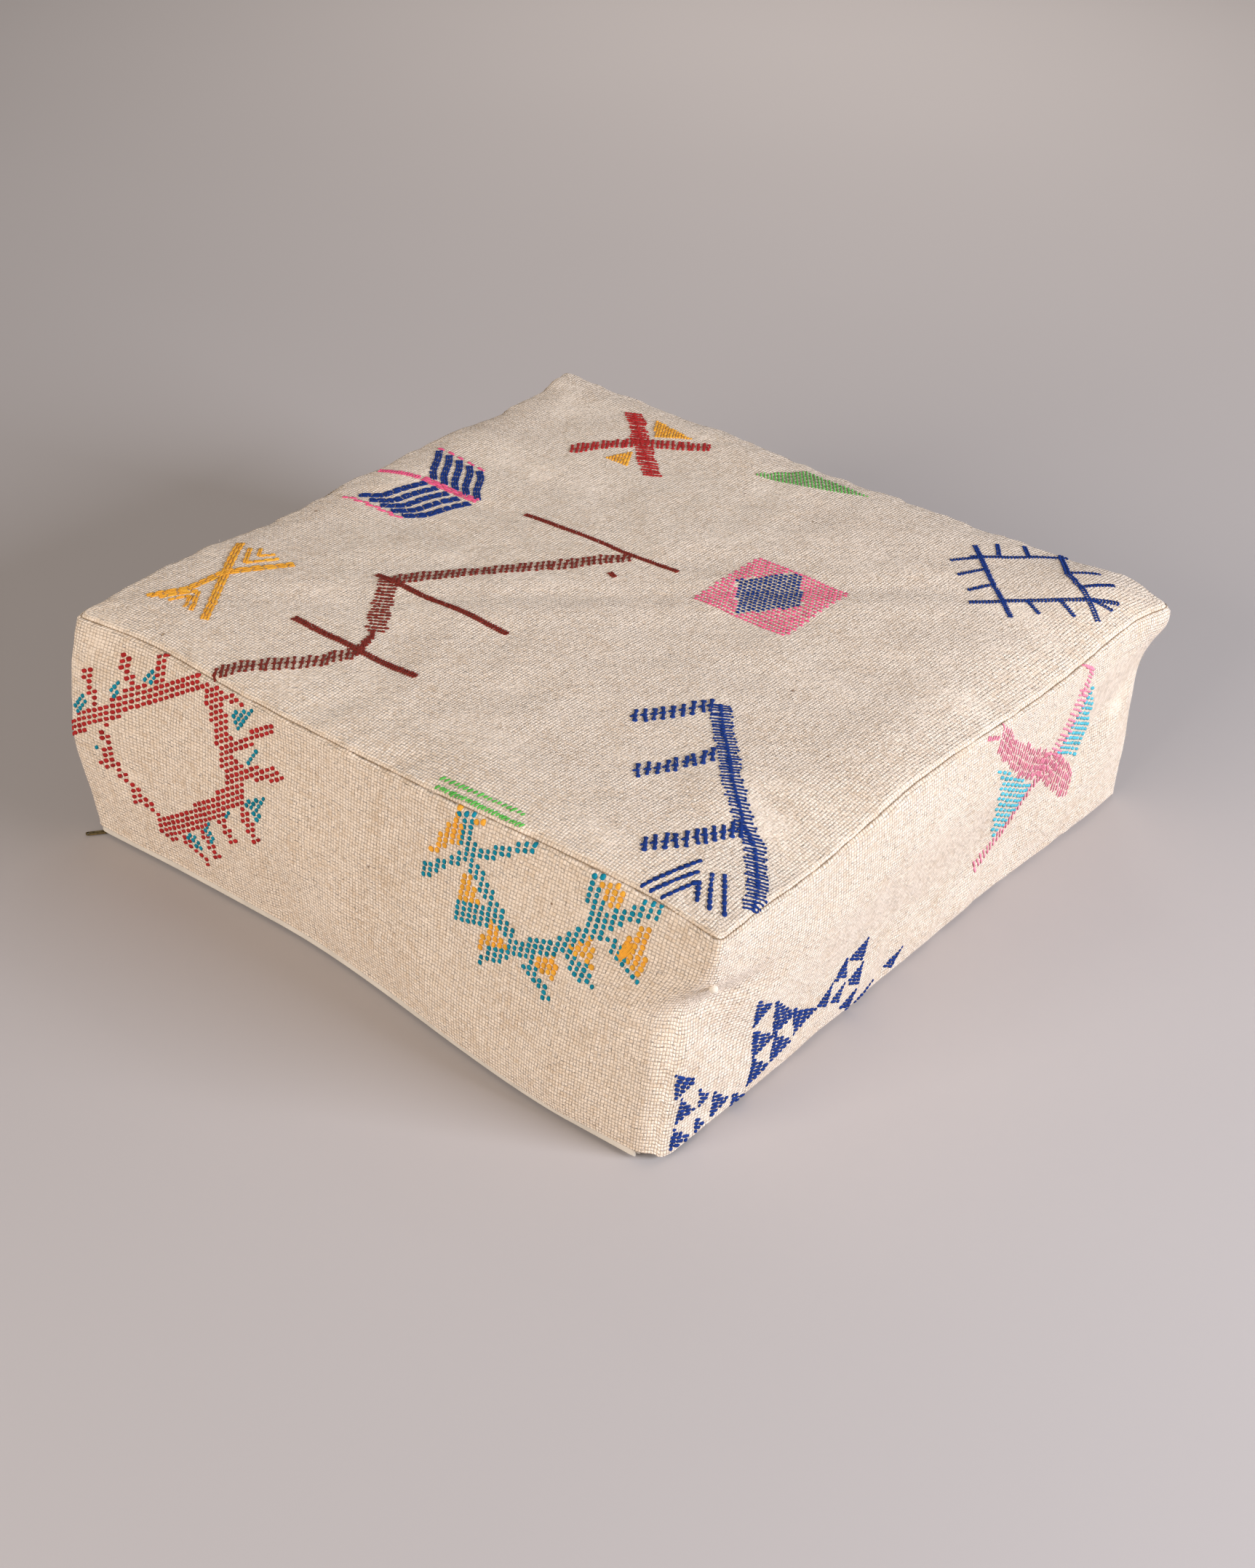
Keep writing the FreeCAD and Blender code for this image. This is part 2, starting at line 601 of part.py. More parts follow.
motif("top_navy_feather", "top", [
    stroke(edge + index * FEATHER_STEP, level, FEATHER_ROOT + index * FEATHER_STEP, root, NARROW)
    for index in range(FEATHER_STRIPES)
    for edge, level, root in ((26, 378, 336), (28, 274, 330))
], beside=pink_line)
motif("top_red_cross", "top", (
    path([(94, 563), (137, 515), (182, 471)], BROAD)
    + path([(185, 554), (137, 517), (101, 461)], BROAD)
))
motif("top_orange_wedges", "top", [
    patch((118, 566), (138, 539), (164, 556)),
    patch((142, 494), (134, 468), (154, 471)),
])
motif("top_green_leaf", "top", [
    patch((243, 536), (288, 550), (336, 576), (270, 582)),
])
motif("top_pink_square", "top", [
    patch((335, 322), (422, 325), (421, 412), (335, 413))
    .cut(patch((375, 328), (407, 369), (374, 412), (346, 369))),
])
motif("top_navy_rhombus", "top", [
    patch((375, 329), (406, 369), (374, 411), (347, 369)),
])
motif("top_navy_lattice", "top", (
    path([(453, 553), (535, 469)], NARROW)
    + path([(500, 466), (566, 534), (581, 547)], NARROW)
    + path([(580, 518), (510, 579)], NARROW)
    + path([(464, 536), (509, 581)], NARROW)
    + path([(480, 522), (470, 499)], NARROW)
    + path([(500, 503), (488, 482)], NARROW)
    + path([(531, 499), (547, 489)], NARROW)
    + path([(548, 517), (568, 508)], NARROW)
    + path([(476, 555), (465, 572)], NARROW)
    + path([(542, 543), (564, 562)], NARROW)
))
motif("top_navy_branch", "top", (
    path([(406, 154), (444, 210), (485, 164), (509, 136), (543, 104), (560, 93), (583, 63), (598, 45)], BROAD)
    + path([(482, 158), (451, 98)], BROAD)
    + path([(545, 101), (529, 59), (510, 34)], BROAD)
))
motif("top_navy_chevrons", "top", (
    path([(533, 2), (546, 48)], FINE)
    + path([(542, 2), (552, 37)], FINE)
    + path([(564, 51), (588, 20)], FINE)
    + path([(556, 42), (577, 18)], FINE)
))
motif("top_green_rows", "top", (
    path([(352, 10), (428, 11)], FINE)
    + path([(355, 3.5), (433, 4)], FINE)
))
red_ring = (
    path([(33, 117), (61, 151), (124, 188)], BROAD)
    + path([(143, 183), (165, 110), (122, 69), (81, 30)], BROAD)
    + path([(30, 119), (38, 81), (60, 57), (85, 39)], NARROW)
    + path([(31, 124), (22, 156)], NARROW)
    + path([(67, 152), (50, 181)], NARROW)
    + path([(155, 151), (202, 185)], NARROW)
    + path([(165, 123), (208, 146)], NARROW)
    + path([(164, 110), (183, 73)], NARROW)
    + path([(141, 84), (157, 60)], NARROW)
    + path([(118, 63), (135, 35)], NARROW)
    + path([(92, 42), (124, 23)], NARROW)
)
motif("front_red_ring", "front", red_ring)
motif("front_teal_wedges", "front", [
    patch((39, 140), (48, 161), (49, 144)),
    patch((66, 167), (77, 186), (78, 172)),
    patch((27, 95), (31, 78), (33, 90)),
    patch((158, 178), (176, 191), (164, 166)),
    patch((171, 135), (184, 160), (179, 138)),
    patch((174, 110), (191, 118), (185, 92)),
    patch((143, 87), (155, 97), (152, 77)),
    patch((123, 61), (132, 76), (133, 46)),
    patch((102, 35), (113, 46), (116, 37)),
], beside=red_ring)
teal_ring = (
    path([(394, 194), (396, 165), (422, 133), (450, 114)], BROAD)
    + path([(450, 114), (491, 138), (509, 160), (502, 192)], BROAD)
    + path([(355, 133), (396, 167), (444, 193)], NARROW)
    + path([(509, 164), (550, 193)], NARROW)
    + path([(420, 129), (387, 109)], NARROW)
    + path([(443, 115), (420, 89)], NARROW)
    + path([(459, 116), (487, 89)], NARROW)
    + path([(495, 137), (519, 118)], NARROW)
    + path([(513, 162), (548, 142)], NARROW)
)
motif("front_teal_ring", "front", teal_ring)
motif("front_orange_wedges", "front", [
    patch((364, 159), (382, 190), (383, 175)),
    patch((390, 125), (396, 149), (404, 135)),
    patch((418, 102), (423, 123), (434, 111)),
    patch((469, 115), (484, 126), (486, 108)),
    patch((499, 138), (508, 150), (513, 133)),
    patch((526, 158), (543, 176), (547, 156)),
], beside=teal_ring)


def wedges(points_list):
    return [patch(*points) for points in points_list]


motif("right_navy_wedges", "right", wedges([
    ((30, 21), (38, 3), (30, 3)), ((32, 44), (36, 28), (30, 29)), ((38, 44), (48, 33), (40, 28)),
    ((53, 31), (66, 17), (53, 10)), ((41, 17), (48, 9), (41, 3)),
    ((72, 100), (86, 88), (76, 76)), ((78, 67), (98, 50), (84, 42)), ((93, 83), (120, 53), (100, 52)),
    ((102, 45), (122, 27), (102, 23)), ((84, 36), (98, 21), (84, 14)), ((123, 53), (150, 36), (128, 31)),
    ((71, 16), (84, 3), (72, 3)), ((153, 37), (169, 48), (164, 30)), ((172, 50), (182, 64), (187, 45)),
    ((189, 61), (206, 69), (206, 52)), ((169, 30), (186, 37), (181, 24)), ((192, 37), (207, 44), (208, 26)),
    ((187, 13), (205, 19), (204, 3)), ((210, 3), (238, 13), (220, 3)), ((248, 15), (267, 23), (260, 8)),
]))
pink_cross = (
    path([(333, 193), (346, 188), (369, 159), (396, 136), (449, 105), (499, 61)], BROAD)
    + path([(468, 197), (482, 187), (451, 112), (411, 76), (364, 50)], BROAD)
)
motif("right_pink_cross", "right", pink_cross)
motif("right_aqua_wedges", "right", wedges([
    ((350, 152), (425, 95), (379, 70)),
    ((484, 170), (459, 117), (508, 83), (517, 109)),
]), beside=pink_cross)
# The two walls that face away carry plainer versions of the same ornaments.
ZIGZAG_STEP = 42.0
motif("left_russet_zigzag", "left", path(
    [(170 + index * ZIGZAG_STEP, 60 if index % 2 == 0 else 140) for index in range(7)], BROAD
))
motif("back_teal_cross", "back", (
    path([(330, 150), (390, 100), (450, 50)], BROAD)
    + path([(330, 50), (390, 100), (450, 150)], BROAD)
))
motif("back_orange_wedges", "back", wedges([
    ((372, 152), (408, 152), (390, 122)),
    ((372, 48), (408, 48), (390, 78)),
]))

# ---------------------------------------------------------------- checks and export
doc.recompute()
faults = [
    "%s: %s" % (obj.Label, ", ".join(obj.State))
    for obj in doc.Objects
    if "Invalid" in obj.State or "Error" in obj.State
]
for obj in SUBPARTS:
    if obj.Shape.isNull() or not obj.Shape.isValid():
        faults.append("%s has no valid shape" % obj.Label)
if faults:
    raise RuntimeError("; ".join(faults))

os.makedirs("parts", exist_ok=True)
for obj in SUBPARTS:
    shape = obj.Shape
    shape.exportStep("parts/%s.step" % obj.Label)
    print("%-24s %2d solid(s) %10.1f mm3" % (obj.Label, len(shape.Solids), shape.Volume))
print("%d sub-parts" % len(SUBPARTS))
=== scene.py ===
import math

import bpy
import numpy as np
from mathutils import Matrix, Vector


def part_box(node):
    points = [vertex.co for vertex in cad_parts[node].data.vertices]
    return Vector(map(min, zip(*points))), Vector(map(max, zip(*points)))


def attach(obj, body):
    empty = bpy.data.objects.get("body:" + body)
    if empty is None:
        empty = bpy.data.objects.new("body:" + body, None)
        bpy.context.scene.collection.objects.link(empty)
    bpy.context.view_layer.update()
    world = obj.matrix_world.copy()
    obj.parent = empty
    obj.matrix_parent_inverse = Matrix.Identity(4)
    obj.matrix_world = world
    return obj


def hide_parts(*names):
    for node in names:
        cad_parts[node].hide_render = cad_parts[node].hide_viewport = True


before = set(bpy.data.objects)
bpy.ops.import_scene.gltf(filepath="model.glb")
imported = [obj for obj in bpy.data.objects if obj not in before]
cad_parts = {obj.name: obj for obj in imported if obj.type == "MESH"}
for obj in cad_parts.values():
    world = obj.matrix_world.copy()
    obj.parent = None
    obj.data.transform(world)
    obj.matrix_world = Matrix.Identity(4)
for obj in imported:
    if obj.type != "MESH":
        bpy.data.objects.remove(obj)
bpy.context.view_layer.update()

# Handwoven box floor cushion. Lengths are millimetres in the row frame; meshes are written in metres.
# Walls are measured along s, round the cushion from the left corner: front, right, back, left.
MM = 0.001


def node_box(node):
    """Lowest and highest corner of a CAD node in millimetres."""
    low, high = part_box(node)
    return np.array(low) / MM, np.array(high) / MM


HALF, _, TALL = node_box("top_panel")[1]      # half the width over the cover; floor to its top face
LAP_TOP = node_box("zip_lap")[1][2]
TEETH_FRONT = node_box("zip_teeth_front")[0][1]
REAR_LOW, REAR_HIGH = node_box("zip_tape_rear")
SIDE = 2 * HALF
LOOP = 4 * SIDE                   # once round the walls
CLOTH = 1.2                       # cover cloth
TAPE_CLOTH = 0.6
EASE = 1.5                        # gap between cover and insert
CASING = 0.8
WADDING = 12.0
ZIP_MOUTH = 7.5                   # lower edge of the front wall above the floor
MOUTH_TURN = 46.0                 # how far the mouth runs round the near corner
MOUTH_LIP = 0.22                  # share of its height that it keeps there, to clear the pull
MOUTH_BACK = 16.0                 # how far the mouth runs round the left corner

# ---------------------------------------------------------------- camera and light
CAMERA_AT = Vector((1.0564, -1.4418, 1.2024))
CAMERA_AZIMUTH = math.radians(36.26)
CAMERA_ELEVATION = math.radians(33.25)
CAMERA_ROLL = math.radians(3.05)
LENS = 60.1
SENSOR = 36.0


def make_camera():
    """Camera from its azimuth, elevation and roll, all about the cushion's own axes."""
    back = Vector((
        math.sin(CAMERA_AZIMUTH) * math.cos(CAMERA_ELEVATION),
        -math.cos(CAMERA_AZIMUTH) * math.cos(CAMERA_ELEVATION),
        math.sin(CAMERA_ELEVATION),
    ))
    level = (-back).cross(Vector((0, 0, 1))).normalized()
    upright = level.cross(-back)
    right = math.cos(CAMERA_ROLL) * level + math.sin(CAMERA_ROLL) * upright
    up = -math.sin(CAMERA_ROLL) * level + math.cos(CAMERA_ROLL) * upright
    data = bpy.data.cameras.new("camera")
    data.sensor_fit = "VERTICAL"
    data.sensor_height = SENSOR
    data.sensor_width = SENSOR
    data.lens = LENS
    data.clip_start = 0.05
    data.clip_end = 40.0
    camera = bpy.data.objects.new("camera", data)
    bpy.context.scene.collection.objects.link(camera)
    camera.matrix_world = Matrix.Translation(CAMERA_AT) @ Matrix((right, up, back)).transposed().to_4x4()
    bpy.context.scene.camera = camera


def area_light(name, at, aim, size, watts, colour, spread_deg=180):
    """Soft box; places and sizes are metres."""
    data = bpy.data.lights.new(name, "AREA")
    data.spread = math.radians(spread_deg)
    data.shape = "RECTANGLE"
    data.size, data.size_y = size
    data.energy = watts
    data.color = colour
    light = bpy.data.objects.new(name, data)
    bpy.context.scene.collection.objects.link(light)
    light.location = at
    light.rotation_mode = "QUATERNION"
    light.rotation_quaternion = (Vector(aim) - Vector(at)).to_track_quat("-Z", "Y")


def make_light():
    area_light("key", at=(2.9, 0.5, 1.28), aim=(0.0, 0.1, 0.1), size=(1.5, 1.1), watts=126,
               colour=(0.93, 1.0, 1.16))
    area_light("fill", at=(-0.2, -3.1, 1.3), aim=(0.0, 0.0, 0.1), size=(2.0, 1.4), watts=37,
               colour=(1.0, 0.962, 0.945), spread_deg=120)
    area_light("back", at=(-1.1, 2.0, 2.5), aim=(-1.1, 1.95, 0.0), size=(1.0, 0.8), watts=11,
               colour=(1.0, 0.98, 0.98), spread_deg=95)
    world = bpy.data.worlds.new("studio")
    world.use_nodes = True
    background = world.node_tree.nodes["Background"]
    background.inputs["Color"].default_value = (1.0, 0.94, 0.89, 1.0)
    background.inputs["Strength"].default_value = 0.21
    bpy.context.scene.world = world


# ---------------------------------------------------------------- node graphs
class Graph:
    """A material and short ways to add the nodes it is made of."""

    def __init__(self, name, roughness=0.8, **shader_values):
        self.material = bpy.data.materials.new(name)
        self.material.use_nodes = True
        self.tree = self.material.node_tree
        self.shader = self.tree.nodes["Principled BSDF"]
        self.shader.inputs["Roughness"].default_value = roughness
        for socket, value in shader_values.items():
            self.shader.inputs[socket.replace("_", " ")].default_value = value
        coordinates = self.tree.nodes.new("ShaderNodeTexCoord").outputs
        self.flat, self.place = coordinates["UV"], coordinates["Object"]

    def put(self, socket, value):
        if isinstance(value, bpy.types.NodeSocket):
            self.tree.links.new(value, socket)
        elif value is not None:
            socket.default_value = value

    def node(self, kind, inputs=(), output=0, **settings):
        """Add a node, set what it says, feed its inputs and give one of its outputs."""
        made = self.tree.nodes.new(kind)
        for key, value in settings.items():
            setattr(made, key, value)
        for key, value in dict(inputs).items():
            self.put(made.inputs[key], value)
        return made.outputs[output]

    def math(self, operation, first, second=None, third=None):
        made = self.tree.nodes.new("ShaderNodeMath")
        made.operation = operation
        for socket, value in zip(made.inputs, (first, second, third)):
            self.put(socket, value)
        return made.outputs[0]

    def add(self, first, second):
        return self.math("ADD", first, second)

    def times(self, first, second):
        return self.math("MULTIPLY", first, second)

    def mix(self, factor, first, second):
        """Blend of two colours; a colour mixing node's sockets 0, 6 and 7 are its factor and colours."""
        made = self.tree.nodes.new("ShaderNodeMix")
        made.data_type = "RGBA"
        for socket, value in ((0, factor), (6, first), (7, second)):
            self.put(made.inputs[socket], value)
        return made.outputs[2]

    def split(self, value, kind="ShaderNodeSeparateXYZ"):
        """First two parts of a vector or a colour."""
        made = self.tree.nodes.new(kind)
        self.put(made.inputs[0], value)
        return made.outputs[0], made.outputs[1]

    def join(self, x, y):
        return self.node("ShaderNodeCombineXYZ", {"X": x, "Y": y})

    def spread(self, value, low, high, to_low=0.0, to_high=1.0):
        """Smooth step of a value between two levels."""
        return self.node("ShaderNodeMapRange", {
            "Value": value, "From Min": low, "From Max": high, "To Min": to_low, "To Max": to_high,
        }, interpolation_type="SMOOTHSTEP")

    def noise(self, place, size_mm, detail=2.0, roughness=0.5):
        """Noise whose grain is about size_mm."""
        return self.node("ShaderNodeTexNoise", {
            "Vector": place, "Scale": 1 / (size_mm * MM), "Detail": detail, "Roughness": roughness,
        })

    def cells(self, place, size_mm):
        """Distance from the middle of the nearest cell, and that cell's own random colour."""
        made = self.tree.nodes.new("ShaderNodeTexVoronoi")
        self.put(made.inputs["Vector"], place)
        made.inputs["Scale"].default_value = 1 / (size_mm * MM)
        return made.outputs["Distance"], made.outputs["Color"]

    def scaled(self, place, factors):
        return self.node("ShaderNodeMapping", {"Vector": place, "Scale": factors})

    def bump(self, height, depth_mm, normal=None):
        return self.node("ShaderNodeBump", {"Height": height, "Distance": depth_mm * MM, "Normal": normal})

    def done(self, colour, normal=None):
        """Feed the shader and give the finished material."""
        self.put(self.shader.inputs["Base Color"], colour)
        self.put(self.shader.inputs["Normal"], normal)
        return self.material


def tinted(colour, share, lift=0.0):
    """Colour made darker or lighter."""
    return tuple(min(1.0, share * part + lift) for part in colour[:3]) + (1,)


THREAD_GRAIN = 1000.0             # noise read in thread numbers, not metres


def woven_cloth(name, base, gap_colour, pitch_mm, gap_share, nap, fleck_share, bump_mm):
    """Handwoven plain weave on the piece's own UVs, which are metres of cloth."""
    graph = Graph(name, roughness=0.92, Sheen_Weight=0.25, Sheen_Roughness=0.6, Specular_IOR_Level=0.15)
    place = graph.place
    wobble = graph.math("MULTIPLY_ADD", graph.noise(graph.flat, 30), 1.1, -0.55)
    across, along = (
        graph.math("MULTIPLY_ADD", part, 1 / (pitch_mm * MM), wobble) for part in graph.split(graph.flat))
    warp_wave, weft_wave = (graph.math("SINE", graph.times(count, math.pi)) for count in (across, along))
    warp, weft = (graph.math("ABSOLUTE", wave) for wave in (warp_wave, weft_wave))
    warp_on_top = graph.math("GREATER_THAN", graph.times(warp_wave, weft_wave), 0.0)
    over = graph.times(graph.math("POWER", warp, 0.65), graph.math("POWER", weft, 0.3))
    under = graph.times(graph.math("POWER", warp, 0.3), graph.math("POWER", weft, 0.65))
    crossing = graph.add(graph.times(over, warp_on_top),
                         graph.times(under, graph.math("SUBTRACT", 1.0, warp_on_top)))
    # each thread has its own thickness, which swells and thins along its length
    warp_number, weft_number = (graph.math("FLOOR", count) for count in (across, along))
    weft_place = graph.join(graph.times(across, 0.07), graph.times(weft_number, 3.7))
    warp_place = graph.join(graph.times(warp_number, 5.3), graph.times(along, 0.05))
    slub = graph.add(graph.noise(weft_place, THREAD_GRAIN), graph.noise(warp_place, THREAD_GRAIN))
    knot = graph.node("ShaderNodeTexWhiteNoise", {"Vector": graph.join(warp_number, weft_number)},
                      noise_dimensions="2D")
    uneven = graph.add(graph.math("MULTIPLY_ADD", slub, 0.8, -0.15), graph.times(knot, 0.55))
    threads = graph.times(crossing, uneven)
    # combed-up fibres hide the weave in soft patches
    nap_mask = graph.spread(graph.noise(place, 70, 4, 0.6), 0.64 - 0.3 * nap, 0.80 - 0.1 * nap)
    fuzz = graph.noise(place, 2.2, 4, 0.75)
    weave_height = graph.mix(graph.times(nap_mask, 0.7), threads, fuzz)
    mottle = graph.noise(place, 38, 4, 0.65)
    fine_mottle = graph.noise(place, 6, 3, 0.65)
    tone = graph.add(graph.times(mottle, 0.45), graph.times(fine_mottle, 0.55))
    shade = tuple(part * share for part, share in zip(base, (0.88, 0.83, 0.77))) + (1,)
    pale = tinted(base, 1.07, 0.03)
    warm = graph.mix(graph.spread(tone, 0.36, 0.6), shade, base)
    thick_yarn = graph.spread(graph.math("MULTIPLY_ADD", knot, 0.7, slub), 1.15, 1.75)
    napped = graph.mix(graph.times(nap_mask, 0.6), graph.mix(thick_yarn, warm, pale), pale)
    # the shadow in the holes between threads
    gap = graph.spread(threads, 0.2, 0.6, 1.0, 0.0)
    gap_patch = graph.spread(graph.noise(place, 130), 0.4, 0.65, 0.65, 1.0)
    shown_gap = graph.times(graph.times(gap, gap_patch),
                            graph.math("MULTIPLY_ADD", nap_mask, -0.6 * gap_share, gap_share))
    gapped = graph.mix(shown_gap, napped, gap_colour)
    # plant flecks and dark hairs caught in the yarn
    distance, cell_colour = graph.cells(graph.scaled(place, (1.0, 0.6, 1.3)), 24)
    chance, brown = graph.split(cell_colour, "ShaderNodeSeparateColor")
    fleck = graph.times(graph.spread(distance, 0.036, 0.064, 1.0, 0.0),
                        graph.math("LESS_THAN", chance, fleck_share))
    fleck_colour = graph.mix(brown, (0.20, 0.09, 0.035, 1), (0.42, 0.25, 0.11, 1))
    nubs = graph.bump(graph.add(fine_mottle, graph.times(slub, 0.5)), 3.0)
    rough_height = graph.add(weave_height, graph.times(fuzz, 0.6))
    return graph.done(graph.mix(graph.times(fleck, 0.85), gapped, fleck_colour),
                      graph.bump(rough_height, bump_mm, nubs))


def yarn(name, base, sheen=0.03):
    """Twisted embroidery or sewing thread; its UVs are millimetres along and turns around."""
    graph = Graph(name, roughness=0.78, Sheen_Weight=sheen, Sheen_Roughness=0.45, Specular_IOR_Level=0.1)
    along, turn = graph.split(graph.flat)
    twist = graph.add(graph.times(along, 1.1), graph.times(turn, 2.0))
    plies = graph.math("ABSOLUTE", graph.math("SINE", graph.times(twist, math.pi)))
    fibres = graph.noise(graph.place, 0.5, 3, 0.7)
    tint = graph.node("ShaderNodeAttribute", attribute_name="tint", output=2)
    shade = tinted(base, 0.62)
    toned = graph.mix(tint, shade, tinted(base, 1.25, 0.004))
    body = graph.mix(graph.spread(graph.noise(graph.place, 9), 0.35, 0.65), toned, base)
    # painted shade: the grooves between the plies are darkened towards the shade colour
    ply_groove_shaded = graph.mix(graph.spread(plies, 0.05, 0.5, 0.5, 0.0), body, shade)
    height = graph.add(graph.times(plies, 0.7), graph.times(fibres, 0.5))
    return graph.done(ply_groove_shaded, graph.bump(height, 0.25))


def tape_cloth(name, base, rib_mm):
    """Fine cotton tape or lining with close ribs."""
    graph = Graph(name, roughness=0.85, Sheen_Weight=0.15, Specular_IOR_Level=0.2)
    ribs = graph.math("SINE", graph.times(graph.split(graph.place)[0], 2 * math.pi / (rib_mm * MM)))
    grain = graph.noise(graph.place, 0.9, 3, 0.6)
    stain = graph.spread(graph.noise(graph.place, 25, 3), 0.35, 0.7)
    return graph.done(graph.mix(stain, base, tinted(base, 0.86)),
                      graph.bump(graph.add(graph.times(ribs, 0.4), grain), 0.15))


def aged_brass(name):
    graph = Graph(name, roughness=0.42, Metallic=1.0)
    tarnish = graph.spread(graph.noise(graph.place, 3.0, 5, 0.65), 0.38, 0.62)
    scratches = graph.noise(graph.scaled(graph.place, (1.0, 12.0, 4.0)), 2.5)
    graph.put(graph.shader.inputs["Roughness"], graph.spread(tarnish, 0.0, 1.0, 0.3, 0.62))
    return graph.done(graph.mix(tarnish, (0.42, 0.31, 0.13, 1), (0.13, 0.105, 0.055, 1)),
                      graph.bump(graph.add(scratches, graph.times(tarnish, 0.5)), 0.05))


def foam_material(name):
    graph = Graph(name, roughness=0.95)
    colour = graph.mix(graph.noise(graph.place, 40, 3), (0.62, 0.53, 0.31, 1), (0.76, 0.69, 0.46, 1))
    return graph.done(colour, graph.bump(graph.cells(graph.place, 1.5)[0], 0.6))


def wadding_material(name):
    graph = Graph(name, roughness=1.0, Sheen_Weight=0.4)
    tangle = graph.noise(graph.scaled(graph.place, (1.0, 2.2, 1.4)), 4, 6, 0.75)
    colour = graph.mix(tangle, (0.70, 0.70, 0.68, 1), (0.9, 0.9, 0.88, 1))
    return graph.done(colour, graph.bump(tangle, 1.2))


def floor_material():
    graph = Graph("studio_floor", roughness=0.75, Specular_IOR_Level=0.2)
    drift = graph.noise(graph.place, 900)
    return graph.done(graph.mix(drift, (0.478, 0.426, 0.396, 1), (0.513, 0.459, 0.428, 1)))


# ---------------------------------------------------------------- mesh helpers
def mesh_object(name, points, faces, uvs=None, tint=None):
    """Object from points in millimetres; uvs are one pair per point."""
    mesh = bpy.data.meshes.new(name)
    mesh.from_pydata((np.asarray(points) * MM).tolist(), [], faces)
    if uvs is not None:
        corner_points = np.empty(len(mesh.loops), np.int32)
        mesh.loops.foreach_get("vertex_index", corner_points)
        layer = mesh.uv_layers.new(name="cloth")
        layer.data.foreach_set("uv", np.asarray(uvs, np.float32)[corner_points].ravel())
    if tint is not None:
        attribute = mesh.attributes.new("tint", "FLOAT", "POINT")
        attribute.data.foreach_set("value", np.asarray(tint, np.float32))
    mesh.polygons.foreach_set("use_smooth", np.ones(len(mesh.polygons), bool))
    mesh.update()
    piece = bpy.data.objects.new(name, mesh)
    bpy.context.scene.collection.objects.link(piece)
    return piece


def grid_faces(rows, columns, start=0, closed=False):
    """Quads of a grid stored row by row; closed joins the last column to the first."""
    row = np.arange(rows - 1)[:, None]
    column = np.arange(columns if closed else columns - 1)[None, :]
    after = (column + 1) % columns
    corners = (row * columns + column, row * columns + after,
               (row + 1) * columns + after, (row + 1) * columns + column)
    return (np.stack(corners, -1).reshape(-1, 4) + start).tolist()


def finish_piece(piece, material, slot_name, nodes):
    piece.data.materials.append(material)
    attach(piece, "cushion")
    if nodes:
        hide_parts(*nodes)


def thicken(piece, thickness):
    """Give a sheet its thickness, inwards."""
    shell = piece.modifiers.new("thickness", "SOLIDIFY")
    shell.thickness = thickness * MM
    shell.offset = -1.0
    return piece


def lattice_noise(points, size, seed):
    """Smooth random field from -1 to 1 with a grain of about size millimetres."""
    scaled = np.asarray(points, float) / size + 1000.0
    cell = np.floor(scaled).astype(np.int64)
    part = scaled - cell
    part = part * part * part * (part * (part * 6 - 15) + 10)
    total = np.zeros(scaled.shape[:-1])
    for corner in range(8):
        step = np.array([corner & 1, corner >> 1 & 1, corner >> 2 & 1])
        key = cell + step
        mixed = (key[..., 0] * 73856093 ^ key[..., 1] * 19349663 ^ key[..., 2] * 83492791 ^ seed * 2654435)
        mixed = (mixed ^ mixed >> 13) * 1274126177 & 0x7FFFFFFF
        mixed = (mixed ^ mixed >> 15) * 668265263 & 0x7FFFFFFF
        value = mixed / 0x3FFFFFFF - 1.0
        weight = np.where(step == 1, part, 1 - part).prod(-1)
        total += value * weight
    return total


def smoothstep(value, low, high):
    t = np.clip((value - low) / (high - low), 0, 1)
    return t * t * (3 - 2 * t)


# ---------------------------------------------------------------- shape of the cover
SEAM_ROLL = 5.0                   # radius of the rolled cloth each side of a seam
FOOT_ROLL = 5.0
TIGHT_CORNER = 8.0                # left and right corners, which have a seam
SOFT_CORNER = 22.0                # near and back corners, where the strip turns without one
TOP_CORNER = 5.0
CLEFT_DEEP = 1.9
CLEFT_WIDE = 2.3
CROWN = 4.5
SWELL = 3.0                       # walls bulge this much at mid height
LEAN = 17.0                       # foot of the right wall, inwards
LEAN_LOW = (45, 60, 70)           # it fades above this height, higher by the near and right corners
LEAN_HIGH = (150, 12, 32)         # and has gone at this height
FOOT_SPREAD = 33.0                # foot of the front wall by the near corner, outwards
# from where to where along an axis each of them comes in
NEAR_CORNER = (210, 285)
RIGHT_CORNER = (80, 280)
LEAN_ACROSS = (120, 300)
SPREAD_ALONG = (-110, 215)
SPREAD_ACROSS = (150, 298)
BELLY_EDGE = 60.0                 # the bulge comes in over this distance from a wall

